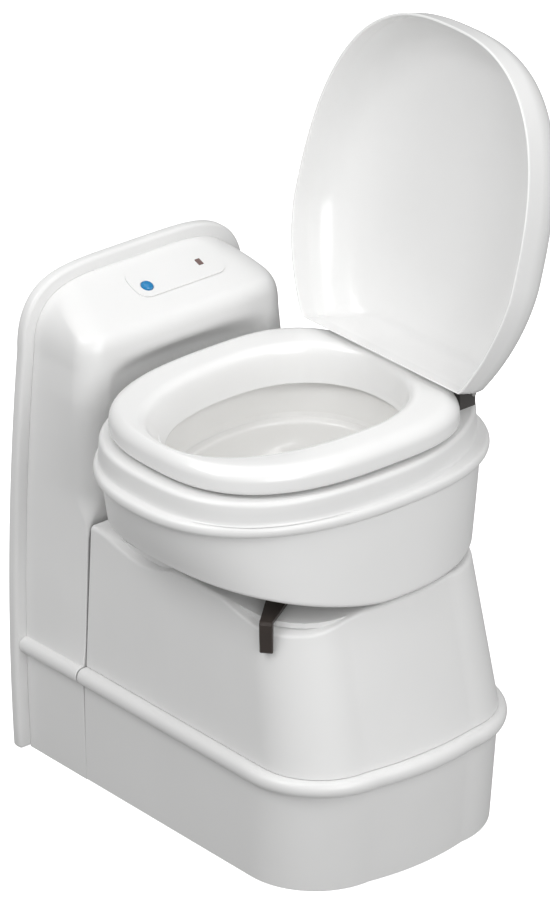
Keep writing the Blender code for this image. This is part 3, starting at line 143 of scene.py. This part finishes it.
# ---------------------------------------------------------------- materials
def plastic(name, colour, roughness, mottle=0.02, grain=0.04, scale=900.0, coat=0.0, specular=0.5):
    """Moulded plastic: a fine texture, faint flow marks in the colour, uneven polish."""
    material = bpy.data.materials.new(name)
    material.use_nodes = True
    nodes = material.node_tree.nodes
    links = material.node_tree.links
    shader = nodes["Principled BSDF"]
    shader.inputs["Specular IOR Level"].default_value = specular
    shader.inputs["Coat Weight"].default_value = coat
    shader.inputs["Coat Roughness"].default_value = 0.12
    place = nodes.new("ShaderNodeTexCoord")
    cloud = nodes.new("ShaderNodeTexNoise")
    cloud.inputs["Scale"].default_value = 9.0
    cloud.inputs["Detail"].default_value = 4.0
    links.new(place.outputs["Object"], cloud.inputs["Vector"])
    ramp = nodes.new("ShaderNodeValToRGB")
    low = [channel * (1 - mottle) for channel in colour]
    high = [min(channel * (1 + mottle), 1.0) for channel in colour]
    ramp.color_ramp.elements[0].position = 0.30
    ramp.color_ramp.elements[1].position = 0.70
    ramp.color_ramp.elements[0].color = (*low, 1.0)
    ramp.color_ramp.elements[1].color = (*high, 1.0)
    links.new(cloud.outputs["Fac"], ramp.inputs["Fac"])
    links.new(ramp.outputs["Color"], shader.inputs["Base Color"])
    polish = nodes.new("ShaderNodeMapRange")
    polish.inputs["To Min"].default_value = roughness * 0.85
    polish.inputs["To Max"].default_value = roughness * 1.15
    wipe = nodes.new("ShaderNodeTexNoise")
    wipe.inputs["Scale"].default_value = 32.0
    wipe.inputs["Detail"].default_value = 3.0
    links.new(place.outputs["Object"], wipe.inputs["Vector"])
    links.new(wipe.outputs["Fac"], polish.inputs["Value"])
    links.new(polish.outputs["Result"], shader.inputs["Roughness"])
    fine = nodes.new("ShaderNodeTexNoise")
    fine.inputs["Scale"].default_value = scale
    fine.inputs["Detail"].default_value = 2.0
    links.new(place.outputs["Object"], fine.inputs["Vector"])
    bump = nodes.new("ShaderNodeBump")
    bump.inputs["Strength"].default_value = grain
    bump.inputs["Distance"].default_value = 0.0004
    links.new(fine.outputs["Fac"], bump.inputs["Height"])
    links.new(bump.outputs["Normal"], shader.inputs["Normal"])
    return material


def metal(name, colour, roughness):
    """Steel: the plastic's fine grain and uneven polish under a metallic surface."""
    material = plastic(name, colour, roughness, mottle=0.05, grain=0.12, scale=500.0)
    material.node_tree.nodes["Principled BSDF"].inputs["Metallic"].default_value = 1.0
    return material


LOOKS = {
    "shell_white": plastic("shell_plastic", (0.80, 0.80, 0.795), 0.34, 0.012, 0.05),
    "seat_white": plastic("seat_plastic", (0.84, 0.84, 0.835), 0.24, 0.010, 0.02, coat=0.25),
    "liner_white": plastic("basin_plastic", (0.82, 0.815, 0.80), 0.18, 0.015, 0.02, coat=0.4),
    "lever_brown": plastic("lever_plastic", (0.035, 0.026, 0.022), 0.36, 0.15, 0.10),
    "hinge_grey": plastic("hinge_plastic", (0.055, 0.052, 0.050), 0.40, 0.10, 0.10),
    "button_blue": plastic("button_plastic", (0.004, 0.20, 0.46), 0.22, 0.05, 0.03, coat=0.3),
    "lens_smoke": plastic("lens_plastic", (0.20, 0.13, 0.12), 0.12, 0.10, 0.02, coat=0.5),
    "tank_grey": plastic("tank_plastic", (0.33, 0.34, 0.35), 0.48, 0.05, 0.25, scale=350.0),
    "valve_grey": plastic("valve_plastic", (0.20, 0.21, 0.22), 0.42, 0.06, 0.12),
    "cap_orange": plastic("cap_plastic", (0.62, 0.17, 0.03), 0.36, 0.06, 0.08),
    "rubber_black": plastic("rubber", (0.022, 0.022, 0.022), 0.62, 0.20, 0.30, scale=500.0),
    "board_green": plastic("board_cover", (0.05, 0.16, 0.08), 0.50, 0.10, 0.15),
    "water_tank": plastic("water_tank_plastic", (0.72, 0.74, 0.74), 0.45, 0.03, 0.15),
    "steel": metal("steel", (0.62, 0.62, 0.60), 0.30),
}


# ---------------------------------------------------------------- mesh tools
def mix(a, b, share):
    return a + (b - a) * share


def ease(value):
    value = min(max(value, 0.0), 1.0)
    return value * value * (3 - 2 * value)


def from_bmesh(name, bm, sharp=40.0):
    bmesh.ops.recalc_face_normals(bm, faces=bm.faces)
    mesh = bpy.data.meshes.new(name)
    bm.to_mesh(mesh)
    bm.free()
    mesh.shade_smooth()
    mesh.set_sharp_from_angle(angle=math.radians(sharp))
    obj = bpy.data.objects.new(name, mesh)
    bpy.context.scene.collection.objects.link(obj)
    return obj


def loft(name, rings, closed=False, wrap=True, caps=False, keep=None, sharp=40.0):
    """A skin through rings of equally many points.

    closed joins the last ring to the first, wrap joins each ring's ends, keep picks the faces by
    their middle.
    """
    bm = bmesh.new()
    rows = [[bm.verts.new(point) for point in ring] for ring in rings]
    pairs = list(zip(rows, rows[1:]))
    if closed:
        pairs.append((rows[-1], rows[0]))
    for lower, upper in pairs:
        for i in range(len(lower) if wrap else len(lower) - 1):
            j = (i + 1) % len(lower)
            corners = (lower[i], lower[j], upper[j], upper[i])
            middle = sum((corner.co for corner in corners), Vector()) / 4
            if keep is None or keep(middle):
                bm.faces.new(corners)
    if caps:
        bm.faces.new(rows[0])
        bm.faces.new(rows[-1])
    loose = [vert for vert in bm.verts if not vert.link_faces]
    bmesh.ops.delete(bm, geom=loose, context="VERTS")
    bmesh.ops.remove_doubles(bm, verts=bm.verts, dist=1e-6)
    return from_bmesh(name, bm, sharp)


def prism(name, outline, low, high, place=Matrix.Identity(4), sharp=40.0):
    bm = bmesh.new()
    bottom = [bm.verts.new(place @ Vector((x, y, low))) for x, y in outline]
    top = [bm.verts.new(place @ Vector((x, y, high))) for x, y in outline]
    bm.faces.new(bottom)
    bm.faces.new(top)
    for i in range(len(outline)):
        j = (i + 1) % len(outline)
        bm.faces.new((bottom[i], bottom[j], top[j], top[i]))
    return from_bmesh(name, bm, sharp)


def box(name, low, high):
    corners = [(low[0], low[1]), (high[0], low[1]), (high[0], high[1]), (low[0], high[1])]
    return prism(name, corners, low[2], high[2])


def circle(radius, centre=(0.0, 0.0), count=48):
    turns = [2 * math.pi * i / count for i in range(count)]
    return [(centre[0] + radius * math.cos(a), centre[1] + radius * math.sin(a)) for a in turns]


def baked(obj, sharp=40.0):
    """The object with its modifiers applied."""
    bpy.context.view_layer.update()
    graph = bpy.context.evaluated_depsgraph_get()
    mesh = bpy.data.meshes.new_from_object(obj.evaluated_get(graph))
    obj.modifiers.clear()
    obj.data = mesh
    mesh.shade_smooth()
    mesh.set_sharp_from_angle(angle=math.radians(sharp))
    return obj


def cut(obj, *tools):
    for tool in tools:
        modifier = obj.modifiers.new("cut", "BOOLEAN")
        modifier.operation = "DIFFERENCE"
        modifier.solver = "EXACT"
        modifier.object = tool
        baked(obj)
        bpy.data.objects.remove(tool, do_unlink=True)
    return obj


def walled(obj, thickness=WALL):
    modifier = obj.modifiers.new("wall", "SOLIDIFY")
    modifier.thickness = thickness
    modifier.offset = -1.0
    modifier.use_even_offset = True
    return baked(obj)


def softened(obj, width, segments=3, angle=40.0):
    modifier = obj.modifiers.new("edges", "BEVEL")
    modifier.width = width
    modifier.segments = segments
    modifier.limit_method = "ANGLE"
    modifier.angle_limit = math.radians(angle)
    return obj


def smoothed(obj, levels=1):
    modifier = obj.modifiers.new("round", "SUBSURF")
    modifier.levels = levels
    modifier.render_levels = levels
    return obj


def piece(obj, body, slot, *nodes):
    """Dresses an object, puts it on a CAD body and lets it stand for CAD nodes."""
    obj.data.materials.clear()
    obj.data.materials.append(LOOKS[slot])
    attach(obj, body)
    if nodes:
        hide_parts(*nodes)
    return obj


# ---------------------------------------------------------------- outlines
def plan(half, front, corner, back, count=18, side=28, across=24):
    """The pedestal's U in plan, walked from +X round the front to -X, then along the back."""
    points = [(half, mix(back, front + SKIRT_BOW + corner, i / side)) for i in range(side)]
    for i in range(count + 1):
        a = math.radians(-90 * i / count)
        y = front + SKIRT_BOW + corner + corner * math.sin(a)
        points.append((half - corner + corner * math.cos(a), y))
    run = half - corner
    for i in range(1, across):
        x = run * (1 - 2 * i / across)
        points.append((x, front + SKIRT_BOW * (x / run) ** 2))
    for i in range(count + 1):
        a = math.radians(-90 - 90 * i / count)
        y = front + SKIRT_BOW + corner + corner * math.sin(a)
        points.append((-half + corner + corner * math.cos(a), y))
    points += [(-half, mix(front + SKIRT_BOW + corner, back, i / side)) for i in range(1, side + 1)]
    points += [(mix(-half, half, i / across), back) for i in range(1, across)]
    return points


def side_half(z):
    return FLANGE_HALF - FLANGE_BULGE * (z - FLANGE_WAIST_Z) ** 2


def arch(inset, side_count=16, top_count=64):
    """The flange's outline in X and Z, moved in by an inset."""
    shoulder = side_half(SHOULDER_Z) - inset
    rise = HEIGHT - inset - SHOULDER_Z
    right = [(side_half(z) - inset, z) for z in
             (SHOULDER_Z * i / side_count for i in range(side_count))]
    for i in range(top_count + 1):
        a = math.pi / 2 * i / top_count
        x = shoulder * math.cos(a) ** ARCH_SIDE if i < top_count else 0.0
        right.append((x, SHOULDER_Z + rise * math.sin(a) ** ARCH_TOP))
    return right + [(-x, z) for x, z in reversed(right[:-1])]


def console_half(z, inset):
    if z <= SHOULDER_Z:
        return side_half(z) - inset
    share = (z - SHOULDER_Z) / (HEIGHT - inset - SHOULDER_Z)
    sine = min(share, 1.0) ** (1 / ARCH_TOP)
    return (side_half(SHOULDER_Z) - inset) * math.sqrt(max(1 - sine * sine, 0.0)) ** ARCH_SIDE


def pedestal_half(z):
    if z <= CASING_LOW:
        return SKIRT_HALF + SKIRT_FLARE * min(z / BELT_LOW, 1.0)
    share = min((z - CASING_LOW) / (CASING_TOP - CASING_LOW), 1.0)
    return mix(CASING_LOW_HALF, CASING_TOP_HALF, share)


def front_y(z):
    """The console's front in side view: upright, rounded over, then a slope up to the flange."""
    upright = SEAM_Y + CONSOLE_LEAN * min(z, TOP_ROUND_Z)
    if z <= TOP_ROUND_Z:
        return upright
    if z <= TOP_ROUND_Z + TOP_ROUND_H:
        share = (z - TOP_ROUND_Z) / TOP_ROUND_H
        return upright + TOP_ROUND_Y * (1 - math.sqrt(1 - 0.96 * share * share)) / 0.8
    return upright + TOP_ROUND_Y + (z - TOP_ROUND_Z - TOP_ROUND_H) / TOP_SLOPE


def recess_share(z):
    """How far the hollow for the bowl is cut: fully beside it, fading out above its rim."""
    low, high = RECESS_FADE
    return ease((high - z) / (high - low))


def console_ring(z, out=0.0, count=12, across=64):
    """The console's section: square to the pedestal's seam below, rounded and hollowed above."""
    back = FLANGE_Y - GAP
    rear_half = console_half(z, CONSOLE_INSET - out)
    half = min(rear_half, pedestal_half(z) + out)
    front = front_y(z)
    low, high = EDGE_FADE
    corner = mix(0.0015, CONSOLE_EDGE_R, ease((z - low) / (high - low)))
    edge = min(corner, half * 0.6, (back - front) * 0.85)
    points = [(mix(rear_half, half, i / 8), mix(back, front + edge, i / 8), z) for i in range(8)]
    for i in range(count + 1):
        a = math.radians(-90 * i / count)
        points.append((half - edge + edge * math.cos(a), front + edge + edge * math.sin(a), z))
    run = half - edge
    for i in range(1, across):
        x = run * (1 - 2 * i / across)
        y = front
        if z > RECESS_Z and abs(x) < RECESS_R:
            hollow = math.sqrt(RECESS_R ** 2 - x * x)
            y = max(front, front + (hollow - front) * recess_share(z))
        points.append((x, min(y, back - 0.002), z))
    for i in range(count + 1):
        a = math.radians(-90 - 90 * i / count)
        points.append((-half + edge + edge * math.cos(a), front + edge + edge * math.sin(a), z))
    points += [(mix(-half, -rear_half, i / 8), mix(front + edge, back, i / 8), z)
               for i in range(1, 9)]
    return points


def egg(front, rear, half, z, front_power=2.3, rear_power=2.4, count=128, clip=None, centre=0.0):
    """A bowl section: front towards -X, rear towards +X."""
    points = []
    for i in range(count):
        a = 2 * math.pi * i / count
        reach, power = (-front, front_power) if math.cos(a) < 0 else (rear, rear_power)
        x = centre + reach * abs(math.cos(a)) ** (2 / power)
        y = half * math.copysign(abs(math.sin(a)) ** (2 / power), math.sin(a))
        points.append((x if clip is None else min(x, clip), y, z))
    return points


def grown(section, out):
    """A section's front, rear and half width, all moved outwards by the same amount."""
    return [size + out for size in section]


def bead(low, high, proud, count=14, power=0.75):
    """Heights and overhangs of a rounded band."""
    points = []
    for i in range(1, count):
        a = math.pi * (i / count - 0.5)
        points.append((mix(low, high, (math.sin(a) + 1) / 2), proud * math.cos(a) ** power))
    return points


# ---------------------------------------------------------------- pedestal
def open_back(back):
    return lambda middle: middle.y < back - 1e-5


def lower_skirt():
    back = SEAM_Y - GAP

    def ring(z, out=0.0):
        share = min(max(z / BELT_LOW, 0.0), 1.0)
        half = SKIRT_HALF + SKIRT_FLARE * share + out
        front = SKIRT_FRONT - SKIRT_LEAN * share - out
        return [(x, y, z) for x, y in plan(half, front, SKIRT_CORNER + out, back)]

    rings = [ring(0.0, -0.0015), ring(0.0012, -0.0002)]
    rings += [ring(BELT_LOW * i / 10) for i in range(1, 10)]
    rings += [ring(BELT_LOW - 0.0010), ring(BELT_LOW)]
    rings += [ring(z, out) for z, out in bead(BELT_LOW, BELT_HIGH, BELT_PROUD)]
    rings += [ring(BELT_HIGH, -0.0010), ring(BELT_HIGH, -0.0060)]
    skin = loft("skirt_shell", rings, keep=open_back(back), sharp=50.0)
    return piece(walled(skin, THIN_WALL), "chassis", "shell_white", "lower_skirt")


SCOOPS = ((225.0, 0.48, 0.0120), (149.0, 0.30, 0.0120))


def scooped(x, y, z):
    """Pushes a point near the casing's top edge inwards and down where a scoop lies."""
    angle = math.degrees(math.atan2(y, x)) % 360
    dent = 0.0
    for centre, width, depth in SCOOPS:
        across = math.radians(angle - centre) / width
        if abs(across) < 1:
            dent = max(dent, depth * (1 - across * across) ** 1.2)
    if dent == 0.0:
        return x, y, z
    low = CASING_TOP - 1.5 * dent
    share = ease((z - low) / (CASING_TOP - low))
    inward = 1 - 1.1 * dent * share / math.hypot(x, y)
    return x * inward, y * inward, z - 0.80 * dent * share


def upper_casing():
    back = SEAM_Y - GAP

    def ring(z, out=0.0):
        share = (z - CASING_LOW) / (CASING_TOP - CASING_LOW)
        half = mix(CASING_LOW_HALF, CASING_TOP_HALF, share) + out
        front = mix(CASING_LOW_FRONT, CASING_TOP_FRONT, share) - out
        corner = CASING_CORNER - 0.008 * share + out
        return [scooped(x, y, z) for x, y in plan(half, front, corner, back)]

    rings = [ring(CASING_LOW, -0.0010), ring(CASING_LOW + 0.0008)]
    rings += [ring(mix(CASING_LOW, CASING_TOP - 0.03, i / 12)) for i in range(1, 13)]
    rings += [ring(mix(CASING_TOP - 0.03, CASING_TOP - 0.005, i / 12)) for i in range(1, 13)]
    for i in range(1, 6):
        a = math.radians(18 * i)
        rings.append(ring(CASING_TOP - 0.005 + 0.005 * math.sin(a), 0.005 * (math.cos(a) - 1)))
    last = rings[-1]
    hole = []
    for x, y, _ in last:
        reach = math.hypot(x, y)
        hole.append((x * WELL_R / reach, y * WELL_R / reach, CASING_TOP - 0.0032))
    for share in (0.15, 0.4, 0.7, 1.0):
        rings.append([tuple(mix(a, b, share) for a, b in zip(p, q)) for p, q in zip(last, hole)])

    def keep(middle):
        return middle.y < back - 1e-5 or middle.z > CASING_TOP - 0.0045

    skin = loft("casing_shell", rings, keep=keep, sharp=55.0)
    return piece(walled(skin, THINNEST_WALL), "chassis", "shell_white", "upper_casing")


def console():
    levels = [0.0, 0.0012] + [BELT_LOW * i / 6 for i in range(1, 6)] + [BELT_LOW]
    rings = [console_ring(z) for z in levels]
    rings += [console_ring(z, out) for z, out in bead(BELT_LOW, BELT_HIGH, BELT_PROUD)]
    rings += [console_ring(BELT_HIGH)]
    rings += [console_ring(mix(BELT_HIGH, RECESS_Z, i / 8)) for i in range(1, 9)]
    rings += [console_ring(mix(RECESS_Z + 0.0015, TOP_ROUND_Z, i / 40)) for i in range(41)]
    rings += [console_ring(TOP_ROUND_Z + TOP_ROUND_H * i / 12) for i in range(1, 13)]
    last = TOP_ROUND_Z + TOP_ROUND_H
    top = HEIGHT - CONSOLE_INSET
    shares = [math.sin(math.pi / 2 * i / 24) for i in range(1, 24)]
    rings += [console_ring(mix(last, top, share * 0.985)) for share in shares]
    skin = walled(loft("console_skin", rings, wrap=False, sharp=35.0))
    bay = box("bay", (-BAY_HALF, SEAM_Y - 0.02, -0.01), (BAY_HALF, SEAM_Y + 0.03, BAY_CUT_TOP))
    return piece(cut(skin, bay), "chassis", "shell_white", "console_shell")


def flange():
    upright = Matrix(((1, 0, 0, 0), (0, 0, -1, 0), (0, 1, 0, 0), (0, 0, 0, 1)))
    plate = prism("flange_plate", arch(0.0), -BACK_Y, -FLANGE_Y, upright)
    baked(softened(plate, 0.0050, 4, 55.0))
    bay = box("bay", (-BAY_HALF, FLANGE_Y - 0.01, -0.01), (BAY_HALF, BACK_Y + 0.01, BAY_TOP))
    hole = prism("hole", circle(FILLER_R, FILLER_AT), -BACK_Y - 0.01, 0.01 - FLANGE_Y, upright)
    return piece(cut(plate, bay, hole), "chassis", "shell_white", "wall_flange")


lower_skirt()
upper_casing()
console()
flange()


# ---------------------------------------------------------------- bowl
def bowl_ring(share, inset, z, lift):
    """The bowl casing's section between its bottom (0) and the rim (1)."""
    sizes = [foot + spread * share - inset for foot, spread in zip(BOWL_FOOT_PLAN, BOWL_SPREAD)]
    ring = egg(*sizes, z, 2.5 - 0.2 * share, 2.17 + 0.28 * share)
    return [(x, y, height + lift * rise_at(x)) for x, y, height in ring]


def rise_at(x):
    return min(max((-x - FLAT_REACH) / (RISE_END - FLAT_REACH), 0.0), 1.0) ** RISE_POWER


def bowl_shell():
    bore = NECK_R + 0.0006
    rings = [egg(bore, bore, bore, BOWL_LOW, 2.0, 2.0)]
    bottom = bowl_ring(0.0, BOWL_FOOT_ROUND, BOWL_LOW, 0.0)
    for scale in (0.35, 0.5, 0.65, 0.8, 0.92, 1.0):
        rings.append([(x * scale, y * scale, BOWL_LOW + BOWL_RISE * rise_at(x * scale))
                      for x, y, _ in bottom])
    for i in range(1, 7):
        a = math.radians(15 * i)
        inset = BOWL_FOOT_ROUND * (1 - math.sin(a))
        z = BOWL_LOW + BOWL_FOOT_HIGH * (1 - math.cos(a))
        rings.append(bowl_ring(0.0, inset, z, BOWL_RISE))
    for i in range(1, 25):
        share = i / 24
        z = mix(BOWL_LOW + BOWL_FOOT_HIGH, RIM_LOW - GAP, share)
        rings.append(bowl_ring(share, 0.0, z, BOWL_RISE * (1 - share) ** 1.4))
    skin = loft("bowl_outer_shell", rings, sharp=60.0)
    return piece(walled(skin, THIN_WALL), "bowl", "shell_white", "bowl_casing")


def rim():
    """The rim moulding: a round lip, the step above it and the opening under the seat."""
    rings = []
    for i in range(13):
        a = math.radians(-90 + 15 * i)
        out = LIP_ROUND * (math.cos(a) ** 0.7 if abs(a) < 1.57 else 0.0) - LIP_ROUND
        z = mix(RIM_LOW, LIP_HIGH - 0.0006, (math.sin(a) + 1) / 2)
        rings.append(egg(*grown(LIP_PLAN, out), z, *LIP_POWERS))
    step = ((0.0026, 0.0000), (0.0016, 0.0004), (0.0008, 0.0018), (0.0003, 0.0060),
            (0.0, 0.0140), (-0.0004, 0.0220))
    for out, up in step:
        rings.append(egg(*grown(STEP_PLAN, out), LIP_HIGH + up, *STEP_POWERS))
    for i in range(7):
        a = math.radians(15 * i)
        out = STEP_ROUND * (math.cos(a) - 1) - 0.0006
        z = RIM_HIGH - STEP_ROUND + STEP_ROUND * math.sin(a)
        rings.append(egg(*grown(STEP_PLAN, out), z, *STEP_POWERS))
    opening = (
        (0.1870, 0.1440, 0.1330, RIM_HIGH),
        (0.1852, 0.1422, 0.1308, RIM_HIGH - 0.0008),
        (0.1836, 0.1406, 0.1288, RIM_HIGH - 0.0030),
        (0.1833, 0.1403, 0.1283, 0.4990),
        (0.1840, 0.1410, 0.1290, 0.4985),
        (0.1860, 0.1430, 0.1330, 0.4985),
        (0.1860, 0.1430, 0.1330, RIM_HIGH - 0.0040),
        (0.2320, 0.2060, 0.1750, RIM_HIGH - 0.0040),
        (0.2340, 0.2080, 0.1770, RIM_LOW),
    )
    rings += [egg(f, r, h, z, *HOLE_POWERS) for f, r, h, z in opening]
    return piece(loft("rim_moulding", rings, closed=True), "bowl", "shell_white", "bowl_rim")


def basin():
    """The basin, drawn in to the round neck that opens over the tank's inlet."""
    wall = ((0.1850, 0.1430, 0.1320, 0.4982), (0.1820, 0.1400, 0.1290, 0.4820),
            (0.1765, 0.1310, 0.1250, 0.4560))
    lower = ((0.1520, 0.1080, 0.1070, 0.4180), (0.1150, 0.0860, 0.0860, 0.3920),
             (0.0780, 0.0680, 0.0680, 0.3730), (0.0560, 0.0540, 0.0540, 0.3640))
    ledge = ((0.1755, 0.1300, 0.1240, 0.4530), (0.1735, 0.1280, 0.1220, 0.4514),
             (0.1640, 0.1190, 0.1130, 0.4500), (0.1620, 0.1170, 0.1110, 0.4485),
             (0.1595, 0.1150, 0.1100, 0.4400))

    def section(front, rear, half, z):
        return egg(front, rear, half, z, 2.15, 2.15, 64)

    rings = [section(*sizes) for sizes in wall + lower]
    rings += [egg(NECK_R, NECK_R, NECK_R, z, 2.0, 2.0, 64) for z in (0.3585, NECK_LOW)]
    bore = NECK_BORE_R
    rings += [egg(bore, bore, bore, z, 2.0, 2.0, 64) for z in (NECK_LOW, 0.3605)]
    for f, r, h, z in reversed(lower):
        lift = 0.0028 if z < 0.40 else 0.0016
        rings.append(section(*grown((f, r, h), -THIN_WALL), z + lift))
    rings += [section(*sizes) for sizes in reversed(ledge)]
    for f, r, h, z in reversed(wall):
        rings.append(section(*grown((f, r, h), -THINNEST_WALL), z))
    skin = loft("basin_liner", rings, closed=True, sharp=80.0)
    return piece(smoothed(skin), "bowl", "liner_white", "bowl_liner")


bowl_shell()
rim()
basin()


# ---------------------------------------------------------------- seat and lid
def seat():
    """The seat: a rounded ring whose rear runs on as a tongue between the hinges."""
    def outline(inset, z):
        front, rear, half = SEAT_PLAN
        tip = inset * (0.8 - 16 * inset)
        ring = egg(front - tip, rear - 0.6 * inset, half - inset, z,
                   2.7 - 8 * inset, 3.2 - 14 * inset)
        tongue = []
        for x, y, height in ring:
            push = ease((TONGUE_HALF - abs(y)) / 0.0080) * ease((x - 0.10) / 0.04)
            tongue.append((mix(x, TONGUE_REAR - 0.45 * inset, push), y, height))
        return tongue

    rings = []
    for i in range(8):
        a = math.radians(-90 + 90 * i / 7)
        rings.append(outline(0.0045 * (1 - math.cos(a)), SEAT_LOW + 0.0060 * (1 + math.sin(a))))
    for i in range(13):
        a = math.radians(7.5 * i)
        inset = 0.0004 + 0.0200 * (1 - math.cos(a))
        rings.append(outline(inset, SEAT_HIGH - 0.0160 + 0.0160 * math.sin(a)))
    rings.append(outline(0.0240, SEAT_HIGH))
    inside = ((0.2140, 0.1460, 0.1335, 0.0004), (0.2115, 0.1430, 0.1290, 0.0012),
              (0.2080, 0.1400, 0.1255, 0.0028), (0.2055, 0.1384, 0.1232, 0.0045),
              (0.2035, 0.1370, 0.1215, 0.0065), (0.2012, 0.1358, 0.1203, 0.0095),
              (0.1990, 0.1350, 0.1195, 0.0130), (0.1945, 0.1342, 0.1189, 0.0180),
              (0.1900, 0.1335, 0.1185, 0.0230), (0.1850, 0.1327, 0.1182, 0.0285),
              (0.1800, 0.1320, 0.1180, 0.0340), (0.1755, 0.1314, 0.1175, 0.0400),
              (0.1720, 0.1310, 0.1172, 0.0450), (0.1703, 0.1302, 0.1166, 0.0480),
              (0.1702, 0.1300, 0.1166, 0.0495), (0.1715, 0.1315, 0.1180, 0.0504),
              (0.1735, 0.1335, 0.1200, 0.0500), (0.1745, 0.1345, 0.1210, 0.0488),
              (0.1770, 0.1360, 0.1225, SEAT_HIGH - SEAT_LOW + 0.0023),
              (0.1800, 0.1390, 0.1255, SEAT_HIGH - SEAT_LOW))
    rings += [egg(f, r, h, SEAT_HIGH - down, *HOLE_POWERS) for f, r, h, down in inside]
    ring = loft("seat_body", rings, closed=True, sharp=60.0)
    return piece(ring, "seat", "seat_white", "seat_ring")


LID_PLACE = (
    Matrix.Translation(HINGE) @ Matrix.Rotation(LID_OPEN, 4, "Y") @ Matrix.Translation(-HINGE)
)
LID_LEVELS = ((0.0000, LID_WALL_TOP), (0.0010, 0.5120), (0.0026, 0.5180), (0.0048, 0.5240),
              (0.0078, 0.5295), (0.0114, 0.5350), (0.0160, 0.5402), (0.0215, 0.5455),
              (0.0280, 0.5500), (0.0370, 0.5542), (0.0480, 0.5572), (0.0620, 0.5590),
              (0.0800, LID_HIGH))


def lid():
    """The deep lid: a rounded rim, walls that get shallower at the rear and a dished inside."""
    def outline(inset, z, clip):
        return egg(*grown(LID_PLAN, -inset), z, 2.6, 1.7, 160, clip, LID_CENTRE)

    def low_edge(x):
        return LID_LOW + 0.0030 * ease((x - 0.0800) / 0.0950)

    def wall(inset, share, clip):
        """A ring on the wall, a share of the way down to the rim's edge."""
        return [(x, y, mix(LID_WALL_TOP, low_edge(x), share)) for x, y, _ in outline(inset, 0.0, clip)]

    outside = [outline(inset, z, LID_REAR - 0.3 * inset) for inset, z in reversed(LID_LEVELS[1:])]
    outside += [wall(0.0, i / 8, LID_REAR) for i in range(9)]
    edge = []
    for i in range(1, 6):
        a = math.radians(30 * i)
        ring = outline(0.0016 * (1 - math.cos(a)), 0.0, LID_REAR)
        edge.append([(x, y, low_edge(x) - 0.0012 * math.sin(a)) for x, y, _ in ring])
    inside = [wall(WALL + 0.0002, 1 - i / 8, LID_REAR - 0.001) for i in range(9)]
    inside += [outline(inset + WALL, z - WALL, LID_REAR - 0.001 - 0.3 * inset) for inset, z in LID_LEVELS[1:]]
    shell = loft("lid_moulding", outside + edge + inside, caps=True, sharp=50.0)
    shell.data.transform(LID_PLACE)
    return piece(shell, "lid", "seat_white", "lid_shell")


seat()
lid()

# ---------------------------------------------------------------- carried-over CAD pieces
record_slots = {entry["node"]: entry["material_slot"] for entry in frame["record"]["subparts"]}
for name, node in frame["nodes"].items():
    node.data.materials.clear()
    node.data.materials.append(LOOKS[record_slots[name]])
    if name in ("pedestal_deck", "control_panel"):
        node.data.materials[0] = LOOKS["shell_white"]
    if name == "blade_lever":
        softened(node, 0.0022, angle=30.0)
    node.data.shade_smooth()
    node.data.set_sharp_from_angle(angle=math.radians(35))


# ---------------------------------------------------------------- floor, light and camera
def studio_floor():
    material = plastic("studio_paper", (0.93, 0.93, 0.93), 0.9, 0.004, 0.02, specular=0.1)
    shader = material.node_tree.nodes["Principled BSDF"]
    shader.inputs["Emission Color"].default_value = (1.0, 1.0, 1.0, 1.0)
    shader.inputs["Emission Strength"].default_value = 0.85
    sheet = prism("studio_floor", [(-30, -30), (30, -30), (30, 30), (-30, 30)], -0.02, -0.0005)
    sheet.data.materials.append(material)
    sheet.visible_diffuse = False
    sheet.visible_glossy = False


def softbox(name, place, aim, size, power):
    light = bpy.data.lights.new(name, "AREA")
    light.shape = "RECTANGLE"
    light.size, light.size_y = size
    light.energy = power
    lamp = bpy.data.objects.new(name, light)
    bpy.context.scene.collection.objects.link(lamp)
    lamp.location = place
    lamp.rotation_euler = (Vector(aim) - Vector(place)).to_track_quat("-Z", "Y").to_euler()


def room_light(strength):
    world = bpy.data.worlds.new("studio")
    world.use_nodes = True
    world.node_tree.nodes["Background"].inputs["Color"].default_value = (1, 1, 1, 1)
    world.node_tree.nodes["Background"].inputs["Strength"].default_value = strength
    bpy.context.scene.world = world


def camera():
    """A long lens, about 40 degrees to the left of the front and 26 degrees above."""
    azimuth = math.radians(40.2348)
    fall = math.radians(26.276)
    target = Vector((-0.0107, 0.0283, 0.4557))
    distance = 7.7685
    right = Vector((math.cos(azimuth), -math.sin(azimuth), 0.0))
    level = Vector((math.sin(azimuth), math.cos(azimuth), 0.0))
    ahead = level * math.cos(fall) - Vector((0, 0, 1)) * math.sin(fall)
    matrix = Matrix((right, right.cross(ahead), -ahead)).transposed().to_4x4()
    matrix.translation = target - ahead * distance
    lens = bpy.data.cameras.new("camera")
    lens.sensor_width = 36.0
    lens.lens = 257.74
    lens.clip_end = 100.0
    viewer = bpy.data.objects.new("camera", lens)
    bpy.context.scene.collection.objects.link(viewer)
    viewer.matrix_world = matrix
    bpy.context.scene.camera = viewer


studio_floor()
room_light(0.36)
softbox("top_softbox", (0.2, 0.3, 3.2), (0.0, 0.0, 0.4), (2.4, 2.4), 20.0)
softbox("back_left_softbox", (-2.2, 0.2, 2.8), (0.0, 0.0, 0.6), (1.6, 1.6), 40.0)
softbox("front_softbox", (0.3, -2.4, 2.8), (0.0, 0.0, 0.4), (1.6, 1.6), 24.0)
softbox("low_softbox", (-0.9, -3.0, 1.5), (-0.1, 0.1, 0.3), (1.6, 1.6), 36.0)
camera()
bpy.context.scene.view_settings.view_transform = "Standard"
